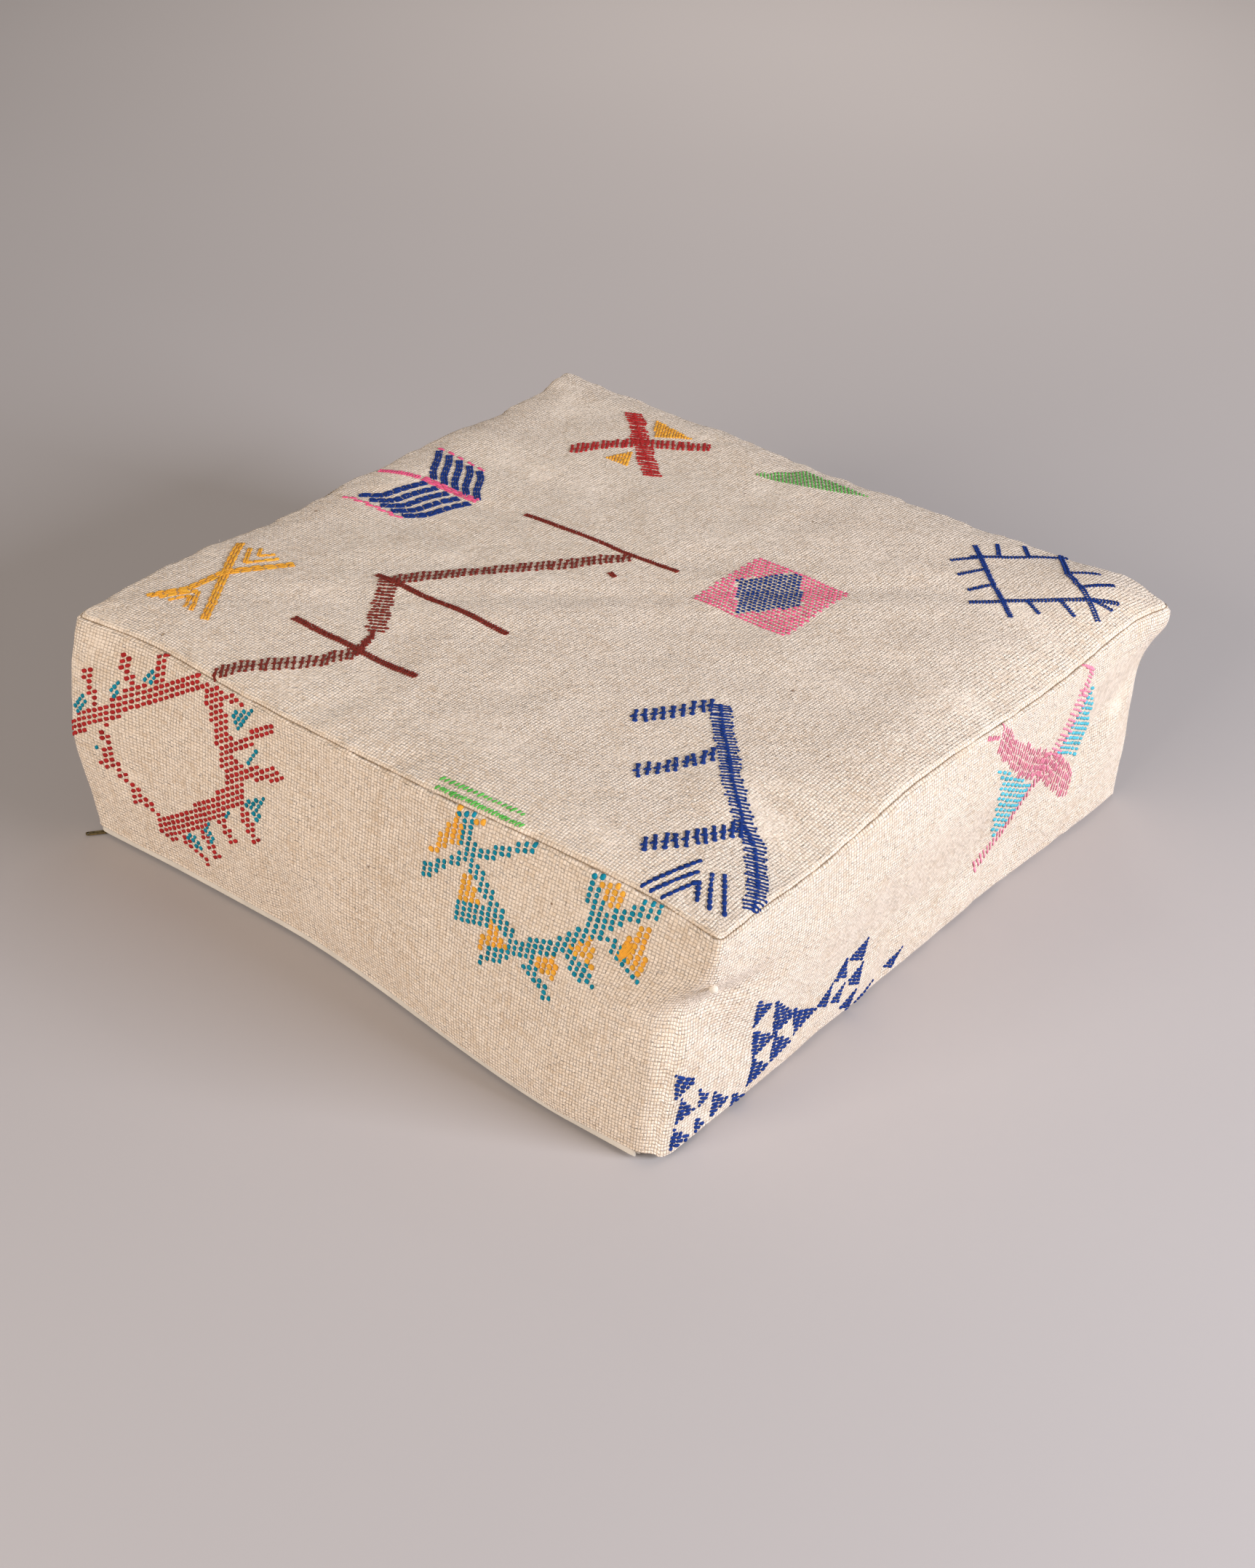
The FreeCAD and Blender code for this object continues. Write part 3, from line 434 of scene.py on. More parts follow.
# Where the cloth has settled away from a plain box: centre, push, reach along x, y, z.
PUSHES = [
    ((300, -300, 200), (6, -7, 1), (38, 38, 40)),        # near ear
    ((-300, -300, 105), (-17, -9, 0), (60, 60, 90)),     # left edge stands out
    ((-300, -300, 205), (-5, 2, -5), (50, 40, 30)),      # left ear
    ((-245, -300, 200), (0, 6, 0), (70, 36, 26)),        # seam set back behind the left ear
    ((-300, -190, 200), (-9, 0, 3), (70, 80, 55)),       # left top edge swells by its ear
    ((300, 300, 190), (10, -6, -3), (34, 40, 24)),       # right ear
    ((262, 262, 205), (5, 3, 9), (45, 45, 40)),          # the top rises into it
    ((-300, 300, 200), (-9, -4, 4), (55, 45, 45)),       # back ear
    ((0, 300, 200), (0, -8, -1), (420, 60, 90)),         # back top edge is drawn in
    ((300, -195, 200), (1, 0, -13), (60, 95, 45)),       # right seam dips behind the near ear
    ((300, 130, 197), (3, 0, -10), (30, 140, 26)),       # and again towards the right ear
    ((300, -262, 128), (-7, 0, 0), (26, 40, 18)),        # fold under the near ear
    ((0, -300, 200), (0, -4, -2), (190, 40, 30)),        # front seam hangs forward at its middle
    ((-300, 60, 200), (1, 0, 4), (60, 180, 60)),         # left top edge stands up a little
]


def around(s):
    """Plan of the square outline at s along it."""
    s = np.asarray(s, float) % LOOP
    side = np.minimum((s // SIDE).astype(int), 3)
    t = s - side * SIDE - HALF
    full = np.full_like(t, HALF)
    x = np.choose(side, [t, full, -t, -full])
    y = np.choose(side, [-full, t, full, -t])
    return x, y


def round_corners(x, y, height):
    """Square plan moved onto one with round upright corners, tighter where a seam runs up them."""
    low_radius = np.where(x * y > 0, TIGHT_CORNER, SOFT_CORNER)
    blend = smoothstep(height, TALL - 70, TALL - 8)
    reach = np.maximum(np.abs(x), np.abs(y))
    lesser = np.minimum(np.abs(x), np.abs(y))
    radius = (low_radius * (1 - blend) + TOP_CORNER * blend) * reach / HALF + 1e-6
    turn = np.clip((lesser - reach + radius) / radius, 0, 1) * math.pi / 4
    far = reach - radius + radius * np.cos(turn)
    near = np.where(turn > 0, reach - radius + radius * np.sin(turn), lesser)
    x_far = np.abs(x) >= np.abs(y)
    return np.sign(x) * np.where(x_far, far, near), np.sign(y) * np.where(x_far, near, far)


def outward(points):
    """Smooth outward direction, the same for every panel that meets at a seam."""
    scaled = np.stack([points[..., 0] / HALF, points[..., 1] / HALF, points[..., 2] / (TALL / 2) - 1], -1)
    power = np.sign(scaled) * np.abs(np.clip(scaled, -1, 1)) ** 14
    return power / (np.linalg.norm(power, axis=-1, keepdims=True) + 1e-9)


def settle(points, folds=True, foot_share=1.0):
    """Move points of the plain box to where the used cushion's cloth lies.

    foot_share is how far they follow the front wall's foot, which spreads ahead of the straight zip."""
    points = np.asarray(points, float)
    x, y, z = points[..., 0], points[..., 1], points[..., 2]
    moved = points.copy()
    for centre, push, reach in PUSHES:
        distance = ((points - np.array(centre)) / np.array(reach)) ** 2
        moved += np.exp(-distance.sum(-1))[..., None] * np.array(push)
    up = np.clip(z / TALL, 0, 1)
    # the right wall leans in towards its foot and the front wall's foot spreads by the near corner
    near, far = smoothstep(-y, *NEAR_CORNER), smoothstep(y, *RIGHT_CORNER)
    low, high = (level + by_near * near + by_far * far for level, by_near, by_far in (LEAN_LOW, LEAN_HIGH))
    moved[..., 0] -= LEAN * (1 - 0.45 * far) * smoothstep(x, *LEAN_ACROSS) * (1 - smoothstep(z, low, high))
    spread = smoothstep(x, *SPREAD_ALONG) * (1 - up ** 1.4)
    moved[..., 1] -= FOOT_SPREAD * foot_share * spread * smoothstep(-y, *SPREAD_ACROSS)
    # walls bulge at mid height and the top is crowned
    inside_x = 1 - np.abs(np.clip(x / HALF, -1, 1)) ** 3
    inside_y = 1 - np.abs(np.clip(y / HALF, -1, 1)) ** 3
    belly = SWELL * np.sin(math.pi * up) ** 0.8
    for axis, value, inside_other in ((0, x, inside_y), (1, y, inside_x)):
        wall = smoothstep(np.abs(value), HALF - BELLY_EDGE, HALF) * np.sign(value)
        moved[..., axis] += belly * wall * inside_other
    moved[..., 2] += CROWN * inside_x ** 0.6 * inside_y ** 0.6 * smoothstep(z, TALL * 0.5, TALL)
    if folds:
        moved += outward(points) * ripple(points)[..., None]
    return moved


def ripple(points):
    """Uneven wadding and puckers that run into the seams."""
    z = points[..., 2]
    still = smoothstep(z, 0.5, 14)
    wide = lattice_noise(points, 95, 3) * 1.9 + lattice_noise(points, 42, 5) * 0.8
    fine = lattice_noise(points, 17, 7) * 0.28 + lattice_noise(points, 7, 9) * 0.1
    from_top_seam = np.maximum(np.abs(z - TALL), HALF - np.abs(points[..., :2]).max(-1))
    pucker = lattice_noise(points * np.array([1, 1, 0.25]), 13, 11) * 1.5 * np.exp(-from_top_seam / 11)
    return (wide + fine + pucker) * still


def mouth_share(s):
    """1 where the wall stops above the zip, 0 where it runs down to the bottom seam."""
    s = (np.asarray(s, float) + HALF) % LOOP - HALF
    closing = (1 - MOUTH_LIP) * smoothstep(s, SIDE - 1, SIDE + 8)
    closing += MOUTH_LIP * smoothstep(s, SIDE + MOUTH_TURN - 10, SIDE + MOUTH_TURN)
    return smoothstep(s, -MOUTH_BACK - 8, -MOUTH_BACK + 4) * (1 - closing)


def roll(distance, radius, hand=-1):
    """How far a rolled edge is set in and down at a distance from its seam; hand is 1 on a flat panel."""
    angle = math.pi / 4 + hand * np.clip(distance, 0, radius * math.pi / 4) / radius
    return radius * (1 - np.cos(angle)), radius * (1 - np.sin(angle))


def wall_plain(s, v):
    """Plain box position of the wall at s and height v, before the cloth settles."""
    s, v = np.broadcast_arrays(np.asarray(s, float), np.asarray(v, float))
    open_share = mouth_share(s)
    foot = ZIP_MOUTH * open_share
    foot_roll = FOOT_ROLL * (1 - 0.75 * open_share)
    top_in, top_down = roll(TALL - v, SEAM_ROLL)
    foot_in, foot_up = roll(v, foot_roll)
    top_band = SEAM_ROLL * math.pi / 4
    foot_band = foot_roll * math.pi / 4
    share = (v - foot_band) / (TALL - top_band - foot_band)
    middle = foot + foot_roll + share * (TALL - SEAM_ROLL - foot - foot_roll)
    z = np.where(v > TALL - top_band, TALL - top_down, np.where(v < foot_band, foot + foot_up, middle))
    x, y = around(s)
    x, y = round_corners(x, y, z)
    shrink = 1 - (top_in + foot_in) / HALF
    return np.stack([x * shrink, y * shrink, z], -1)


def flat_plain(x, y, top):
    """Plain box position of the top or bottom panel at a place on its square."""
    from_edge = HALF - np.maximum(np.abs(x), np.abs(y))
    radius = SEAM_ROLL if top else FOOT_ROLL
    quarter = radius * math.pi / 4
    edge_in, drop = roll(from_edge, radius, 1)
    reach = np.maximum(np.maximum(np.abs(x), np.abs(y)), 1e-6)
    placed = np.where(from_edge < quarter, HALF - edge_in, reach / (HALF - quarter) * (HALF - radius))
    z = TALL - drop if top else drop
    rounded_x, rounded_y = round_corners(x, y, np.full_like(x, TALL if top else 0.0))
    scale = placed / reach
    return np.stack([rounded_x * scale, rounded_y * scale, z], -1)


def cleft(distance, plain):
    """Depth of the cloth beside a seam, which is pulled tighter in some places than in others."""
    pull = 1 + 0.45 * lattice_noise(plain, 30, 13) + 0.35 * lattice_noise(plain, 9, 15)
    return CLEFT_DEEP * pull * np.exp(-(distance / (CLEFT_WIDE * pull)) ** 2)


# ---------------------------------------------------------------- cloth under pressure
SIM_CELLS = 44                    # cells along one side of the simulated cover
SIM_ROWS = 14                     # and up its walls
SIM_FRAMES = 20
PRESSURE = 4.0
HOLD = 0.22                       # how firmly the foam inside keeps the cloth to the settled shape
SLACK = -0.01                     # the cloth is this share larger than what it is stretched over
GIVE_LIMIT = 6.0                  # the simulated cloth may leave the settled shape by this much


def sample_grid(field, across, up):
    """Smooth reading of a grid of vectors that keeps its edge; across and up are counted in cells."""
    rows, columns = field.shape[0] - 1, field.shape[1] - 1
    padded = np.pad(field, ((1, 1), (1, 1), (0, 0)), mode="reflect", reflect_type="odd")
    i = np.clip(np.floor(across).astype(int), 0, columns - 1)
    j = np.clip(np.floor(up).astype(int), 0, rows - 1)

    def weights(t):
        return ((1 - t) ** 3 / 6, (3 * t ** 3 - 6 * t ** 2 + 4) / 6,
                (-3 * t ** 3 + 3 * t ** 2 + 3 * t + 1) / 6, t ** 3 / 6)

    total = np.zeros(np.shape(across) + (3,))
    for row, share_up in enumerate(weights(up - j)):
        for column, share_across in enumerate(weights(across - i)):
            total += (share_up * share_across)[..., None] * padded[j + row, i + column]
    return total


class Inflated:
    """Where a cloth simulation of the filled cover leaves the settled shape."""

    def __init__(self):
        self.flat = np.zeros((SIM_CELLS + 1, SIM_CELLS + 1, 3))
        self.walls = np.zeros((SIM_ROWS + 1, 4 * SIM_CELLS + 1, 3))
        self.simulate(SIM_CELLS, SIM_ROWS)

    def simulate(self, cells, rows):
        line = np.linspace(-HALF, HALF, cells + 1)
        x, y = np.meshgrid(line, line)
        s, height = np.meshgrid(np.arange(4 * cells) * SIDE / cells, np.linspace(0, TALL, rows + 1)[1:-1])
        per_flat = (cells + 1) ** 2
        rest = settle(np.concatenate([
            flat_plain(x, y, True).reshape(-1, 3), flat_plain(x, y, False).reshape(-1, 3),
            wall_plain(s, height).reshape(-1, 3)]), folds=False)
        # the outer rows of the two flat panels are also the ends of the walls
        step = np.arange(cells)
        low, high = np.zeros(cells, int), np.full(cells, cells)
        edge_column = np.concatenate([step, high, cells - step, low])
        edge_row = np.concatenate([low, step, high, cells - step])
        top_edge = edge_row * (cells + 1) + edge_column
        between = 2 * per_flat + np.arange((rows - 1) * 4 * cells).reshape(rows - 1, -1)
        walls = np.vstack([top_edge + per_flat, between, top_edge])
        after = np.roll(walls, -1, axis=1)
        faces = grid_faces(cells + 1, cells + 1)
        faces += [face[::-1] for face in grid_faces(cells + 1, cells + 1, per_flat)]
        faces += np.stack([walls[:-1], after[:-1], after[1:], walls[1:]], -1).reshape(-1, 4).tolist()
        give = self.run(rest, faces, set(range(per_flat, 2 * per_flat)))
        self.flat = give[:per_flat].reshape(cells + 1, cells + 1, 3)
        self.walls = give[np.hstack([walls, walls[:, :1]])]

    def run(self, rest, faces, fixed):
        """Simulate a closed cover whose fixed points stay; gives how far each point moves."""
        shell = mesh_object("simulated_cover", rest, faces)
        held = shell.vertex_groups.new(name="held")
        held.add(sorted(fixed), 1.0, "REPLACE")
        held.add([index for index in range(len(rest)) if index not in fixed], HOLD, "REPLACE")
        settings = shell.modifiers.new("cloth", "CLOTH").settings
        settings.use_pressure = True
        settings.uniform_pressure_force = PRESSURE
        settings.shrink_min = SLACK
        settings.vertex_group_mass = "held"
        settings.effector_weights.gravity = 0.0
        for frame_number in range(1, SIM_FRAMES + 1):
            bpy.context.scene.frame_set(frame_number)
        blown = shell.evaluated_get(bpy.context.evaluated_depsgraph_get()).data
        places = np.empty(3 * len(blown.vertices), np.float32)
        blown.vertices.foreach_get("co", places)
        give = places.reshape(-1, 3) / MM - rest
        bpy.context.scene.frame_set(1)
        bpy.data.objects.remove(shell)
        length = np.linalg.norm(give, axis=1, keepdims=True) + 1e-9
        return give * GIVE_LIMIT * np.tanh(length / GIVE_LIMIT) / length

    def top(self, x, y):
        return sample_grid(self.flat, (x + HALF) * SIM_CELLS / SIDE, (y + HALF) * SIM_CELLS / SIDE)

    def wall(self, s, height):
        """Each wall is read on its own, as the flat panels are, so that seams stay closed."""
        s, height = np.broadcast_arrays(np.asarray(s, float) % LOOP, np.asarray(height, float))
        side = np.minimum((s // SIDE).astype(int), 3)
        found = np.zeros(s.shape + (3,))
        for number in range(4):
            field = self.walls[:, number * SIM_CELLS:(number + 1) * SIM_CELLS + 1]
            here = side == number
            across = (s[here] - number * SIDE) * SIM_CELLS / SIDE
            found[here] = sample_grid(field, across, height[here] * SIM_ROWS / TALL)
        return found


GIVE = Inflated()


# ---------------------------------------------------------------- panels
RISE = 4.4                        # front edge of the bottom panel, up beside the zip
NEAR_SEAM = (0, 0.5, 1, 1.6, 2.3, 3.2, 4.5, 6.5, 9, 12)
GRID_STEP = 3.6


def grid_line(length, fine_low=True, fine_high=True):
    """Grid coordinates along a panel, closer together beside a seam."""
    low = np.array(NEAR_SEAM if fine_low else (0,), float)
    high = length - np.array(NEAR_SEAM if fine_high else (0,), float)[::-1]
    count = max(2, int(round((high[0] - low[-1]) / GRID_STEP)))
    return np.concatenate([low, np.linspace(low[-1], high[0], count + 1)[1:-1], high])


class Panel:
    """Settled surface of one cover panel, which can be sampled at any place on it."""

    def __init__(self, u, v, points):
        self.u, self.v, self.points = u, v, points
        along = np.gradient(points, axis=1)
        up = np.gradient(points, axis=0)
        normal = np.cross(along, up)
        self.normals = normal / (np.linalg.norm(normal, axis=-1, keepdims=True) + 1e-12)

    def at(self, u, v):
        """Surface points and unit normals at panel coordinates."""
        u = np.clip(u, self.u[0], self.u[-1])
        v = np.clip(v, self.v[0], self.v[-1])
        i = np.clip(np.searchsorted(self.u, u) - 1, 0, len(self.u) - 2)
        j = np.clip(np.searchsorted(self.v, v) - 1, 0, len(self.v) - 2)
        a = ((u - self.u[i]) / (self.u[i + 1] - self.u[i]))[..., None]
        b = ((v - self.v[j]) / (self.v[j + 1] - self.v[j]))[..., None]
        found = []
        for field in (self.points, self.normals):
            low = field[j, i] * (1 - a) + field[j, i + 1] * a
            high = field[j + 1, i] * (1 - a) + field[j + 1, i + 1] * a
            found.append(low * (1 - b) + high * b)
        return found[0], found[1] / np.linalg.norm(found[1], axis=-1, keepdims=True)

    def piece(self, name):
        uv = np.stack(np.meshgrid(self.u * MM, self.v * MM), -1).reshape(-1, 2)
        return mesh_object(name, self.points.reshape(-1, 3), grid_faces(len(self.v), len(self.u)), uv)


def wall_panel(start):
    """The strip that goes round two walls from the corner at start."""
    u = grid_line(2 * SIDE)
    v = grid_line(TALL)
    s, height = np.meshgrid(start + u, v)
    plain = wall_plain(s, height)
    away = outward(plain)
    seam_gap = np.minimum(TALL - height, np.minimum(u, 2 * SIDE - u)[None, :])
    foot_gap = height + 50 * mouth_share(s)
    groove = np.maximum(cleft(seam_gap, plain), cleft(foot_gap, plain))
    return Panel(u, v, settle(plain) + GIVE.wall(s, height) - away * groove[..., None])


def flat_panel(top, front_edge=0.0):
    """Top or bottom panel; u runs to the right and v to the back."""
    u = grid_line(SIDE)
    v = grid_line(SIDE)
    v = v[v >= front_edge]
    x, y = np.meshgrid(u - HALF, v - HALF)
    plain = flat_plain(x, y, top)
    edge = HALF - np.maximum(np.abs(x), np.abs(y))
    groove = cleft(edge if top else np.minimum(edge, HALF - np.maximum(np.abs(x), y)), plain)
    points = settle(plain, foot_share=1.0 if top else 0.0) - outward(plain) * groove[..., None]
    if top:
        points += GIVE.top(x, y)
    else:
        points[..., 2] += RISE * (1 - smoothstep(v, 24, 32))[:, None]
    return Panel(u, v, points)


# ---------------------------------------------------------------- embroidery stitches
# A stitch is (u1, v1, u2, v2, width) on a panel; places and directions are arrays of two numbers.
ALONG = np.array([0.0, 0.08, 0.25, 0.5, 0.75, 0.92, 1.0])
FULLNESS = np.array([0.3, 0.7, 0.95, 1.0, 0.95, 0.7, 0.3])
ROUND_POINTS = 6
TICK_EASE = 0.35                  # short stitches wander this much along their row
SATIN_LONG = 9.0
SATIN_SHORT = 1.5                 # a shorter one is left out
SATIN_GAP = 0.3


def sew(name, panel, stitches, seed):
    """One mesh of raised stitches on a panel."""
    rng = np.random.default_rng(seed)
    rows = np.array(stitches, float)
    count = len(rows)
    start, end, width = rows[:, 0:2], rows[:, 2:4], rows[:, 4]
    flat = start[:, None, :] * (1 - ALONG[None, :, None]) + end[:, None, :] * ALONG[None, :, None]
    place, normal = panel.at(flat[..., 0], flat[..., 1])
    course = place[:, -1] - place[:, 0]
    length = np.linalg.norm(course, axis=-1)
    course = course / (length[:, None] + 1e-9)
    sideways = np.cross(normal, course[:, None, :])
    angle = np.arange(ROUND_POINTS) * 2 * math.pi / ROUND_POINTS + 0.5
    fullness = FULLNESS[None, :] * (1 + rng.uniform(-0.12, 0.12, (count, len(ALONG))))
    radius = width[:, None] / 2 * fullness
    height = rng.uniform(0.8, 1.2, count)[:, None] * fullness
    lift = height * 0.45 - 0.25 * (1 - FULLNESS[None, :])
    ring = (place[:, :, None, :]
            + sideways[:, :, None, :] * (radius[..., None] * np.cos(angle))[..., None]
            + normal[:, :, None, :] * (lift[..., None] + height[..., None] * 0.6 * np.sin(angle))[..., None])
    per_stitch = len(ALONG) * ROUND_POINTS
    last = per_stitch - ROUND_POINTS
    one = grid_faces(len(ALONG), ROUND_POINTS, closed=True)
    one += [list(range(ROUND_POINTS))[::-1], list(range(last, per_stitch))]
    faces = [[corner + number * per_stitch for corner in face] for number in range(count) for face in one]
    uvs = np.stack(np.broadcast_arrays(
        (ALONG[None, :] * length[:, None])[..., None], np.arange(ROUND_POINTS) / ROUND_POINTS), -1)
    tint = np.repeat(rng.uniform(0.15, 0.9, count), per_stitch)
    return mesh_object(name, ring.reshape(-1, 3), faces, uvs.reshape(-1, 2), tint)


def heading(degrees):
    return np.array((math.cos(math.radians(degrees)), math.sin(math.radians(degrees))))


def left_of(course):
    return np.array((-course[1], course[0]))


def stitch(middle, course, half, width):
    return (*(middle - course * half), *(middle + course * half), width)


def stretches(points):
    """Start, end and direction of each straight stretch of a path."""
    for start, end in zip(points, points[1:]):
        yield np.array(start), np.array(end), (np.array(end) - start) / math.dist(start, end)


def path_steps(points, pitch):
    """Places and directions at an even pitch along a whole path, carried on past its bends."""
    travel = pitch / 2
    for start, end, course in stretches(points):
        length = math.dist(start, end)
        while travel < length:
            yield start + course * travel, course
            travel += pitch
        travel -= length


def ladder(seed, points, width, pitch, tick_deg, seeds_across, thick):
    """Rows of short stitches across a path; every row runs in the direction tick_deg."""
    rng = np.random.default_rng(seed)
    made = []
    across = heading(tick_deg)
    for place, course in path_steps(points, pitch):
        reach = width * rng.uniform(0.8, 1.2)
        share = reach / seeds_across
        for index in range(seeds_across):
            offset = -reach / 2 + (index + 0.5) * share + rng.uniform(-TICK_EASE, TICK_EASE)
            half = share * rng.uniform(0.42, 0.56)
            middle = place + across * offset + course * rng.uniform(-0.5, 0.5)
            made.append(stitch(middle, across, half, thick * rng.uniform(0.85, 1.15)))
    return made


def fishbone(seed, points, width, pitch, tick_deg, spine, barb, knob):
    """Cross threads that end in knots on both sides of a knotted spine; all run in the direction tick_deg."""
    rng = np.random.default_rng(seed)
    made = []
    across = heading(tick_deg)
    for place, course in path_steps(points, pitch):
        along = course * pitch
        middle = place + along * rng.uniform(-0.12, 0.12)
        made.append(stitch(middle, across, width * rng.uniform(0.12, 0.2), spine * rng.uniform(0.85, 1.15)))
        made.append((*(middle - along * 0.5), *middle, spine * 0.55))
        for hand in (-1, 1):
            reach = width / 2 * rng.uniform(0.72, 1.12)
            end = middle + across * hand * reach + along * rng.uniform(-0.15, 0.15)
            made.append((*middle, *end, barb * rng.uniform(0.85, 1.15)))
            made.append(stitch(end, across, knob * 0.45, knob * rng.uniform(0.85, 1.15)))
    return made


def chain(seed, points, width, pitch, thick=2.2):
    """Narrow line of paired slanted stitches that meet in a ridge."""
    rng = np.random.default_rng(seed)
    made = []
    back = -pitch * 0.75
    for place, course in path_steps(points, pitch):
        for hand in (-1, 1):
            out = width / 2 * hand * rng.uniform(0.9, 1.1)
            start = place + left_of(course) * out + course * back
            made.append((*start, *place, thick * rng.uniform(0.9, 1.1)))
    return made


def dashes(seed, points, pitch, thick):
    """Single line of oval stitches along a path."""
    rng = np.random.default_rng(seed)
    return [stitch(place, course, pitch * 0.5, thick * rng.uniform(0.85, 1.15))
            for place, course in path_steps(points, pitch)]


def satin(seed, points, width, lines=3):
    """Long threads side by side along a path."""
    rng = np.random.default_rng(seed)
    made = []
    gap = width / lines
    for start, end, course in stretches(points):
        length = math.dist(start, end)
        for line in range(lines):
            off = left_of(course) * ((line + 0.5) * gap - width / 2)
            travel = -rng.uniform(0, SATIN_LONG / 2)
            while travel < length:
                begin, stop = max(travel, 0), min(travel + SATIN_LONG * rng.uniform(0.8, 1.2), length)
                if stop - begin > SATIN_SHORT:
                    made.append((*(start + course * begin + off), *(start + course * stop + off), gap * 1.12))
                travel = stop + SATIN_GAP if stop < length else length
    return made


def inside(shape, u, v):
    """Whether a place lies in a filled outline."""
    within = False
    for (u1, v1), (u2, v2) in zip(shape, shape[1:] + shape[:1]):
        if (v1 > v) != (v2 > v) and u < (u2 - u1) * (v - v1) / (v2 - v1) + u1:
            within = not within
    return within


def bands(*paths):
    """Outlines of the straight stretches of paths, each given as its width and then its points."""
    shapes = []
    for width, *points in paths:
        for start, end, course in stretches(points):
            half = course * width / 2
            out, past = left_of(half), half / 3
            shapes.append(np.array(
                (start + out - past, end + out + past, end - out + past, start - out - past)).tolist())
    return shapes


def seeds(shapes, row_deg, row_pitch, seed_pitch, seed, long_share=0.78, thick=2.5, holes=(), stagger=0.5):
    """Rows of oval stitches that fill the outlines; row_deg is the direction the rows run."""
    rng = np.random.default_rng(seed)
    along = heading(row_deg)
    across = left_of(along)
    corners = np.array([corner for shape in shapes for corner in shape])
    travel = corners @ along
    level = corners @ across
    made = []
    for row in range(int(level.min() // row_pitch), int(level.max() // row_pitch) + 1):
        shift = (row % 2) * seed_pitch * stagger
        for step in range(int(travel.min() // seed_pitch), int(travel.max() // seed_pitch) + 1):
            t = step * seed_pitch + shift + rng.uniform(-0.2, 0.2)
            w = (row + 0.5) * row_pitch + rng.uniform(-0.25, 0.25)
            place = along * t + across * w
            size = rng.uniform(0.85, 1.15)
            u, v = place.tolist()
            if any(inside(shape, u, v) for shape in shapes) and not any(inside(hole, u, v) for hole in holes):
                made.append(stitch(place, along, seed_pitch * long_share / 2, thick * size))
    return made


def hatch(shapes, row_deg, pitch, seed, thick, break_mm=7.0, gap=0.5):
    """Parallel threads that fill outlines, broken where the cloth's own threads cross them."""
    rng = np.random.default_rng(seed)
    along = heading(row_deg)
    across = left_of(along)
    made = []
    for shape in shapes:
        level = [u * across[0] + v * across[1] for u, v in shape]
        reach = [u * along[0] + v * along[1] for u, v in shape]
        for row in range(int(min(level) // pitch), int(max(level) // pitch) + 1):
            w = (row + 0.5) * pitch
            ts = [t for t in np.arange(min(reach), max(reach), 0.5)
                  if inside(shape, *(along * t + across * w))]
            if len(ts) < 3:
                continue
            begin = ts[0]
            longest = break_mm * (0.5 if row % 2 else 1.0)
            while begin < ts[-1] - 1.2:
                stop = min(begin + longest * rng.uniform(0.8, 1.2), ts[-1])
                longest = break_mm
                made.append((*(along * begin + across * w), *(along * stop + across * w),
                             thick * rng.uniform(0.9, 1.1)))
                begin = stop + gap
    return made


def grown(shapes, share):
    """Outlines made larger, each about its own middle."""
    middles = [[sum(values) / len(shape) for values in zip(*shape)] for shape in shapes]
    return [[tuple(m + (value - m) * share for value, m in zip(corner, middle)) for corner in shape]
            for shape, middle in zip(shapes, middles)]


def moved(stitches, shift):
    return [(u1 + shift, v1, u2 + shift, v2, width) for u1, v1, u2, v2, width in stitches]


# ---------------------------------------------------------------- motifs
# u runs to the right along its panel as seen from outside and v up, or to the back on the top panel.
FEATHER_STRIPES = 5
FEATHER_STEP = 12.0
ZIGZAG_KNOTS = {"spine": 2.9, "barb": 1.9, "knob": 3.2}
CROSS_KNOTS = {"spine": 3.6, "barb": 2.8, "knob": 3.0}
COLUMN_KNOTS = {"spine": 3.4, "barb": 1.6, "knob": 2.3}
ARM_KNOTS = {"spine": 4.2, "barb": 3.0, "knob": 4.2}
RED_ROWS = {"row_deg": 36, "row_pitch": 4.5, "seed_pitch": 6.4, "long_share": 0.8, "thick": 3.7}
TEAL_ROWS = {"row_deg": 86, "row_pitch": 5.8, "seed_pitch": 4.7, "long_share": 0.84, "thick": 3.9}


def several(seed, kind, paths, *shared, **settings):
    """Stitches of one kind along several paths, each with its own settings and the next seed."""
    return [made for number, path in enumerate(paths)
            for made in kind(seed + number, *path, *shared, **settings)]


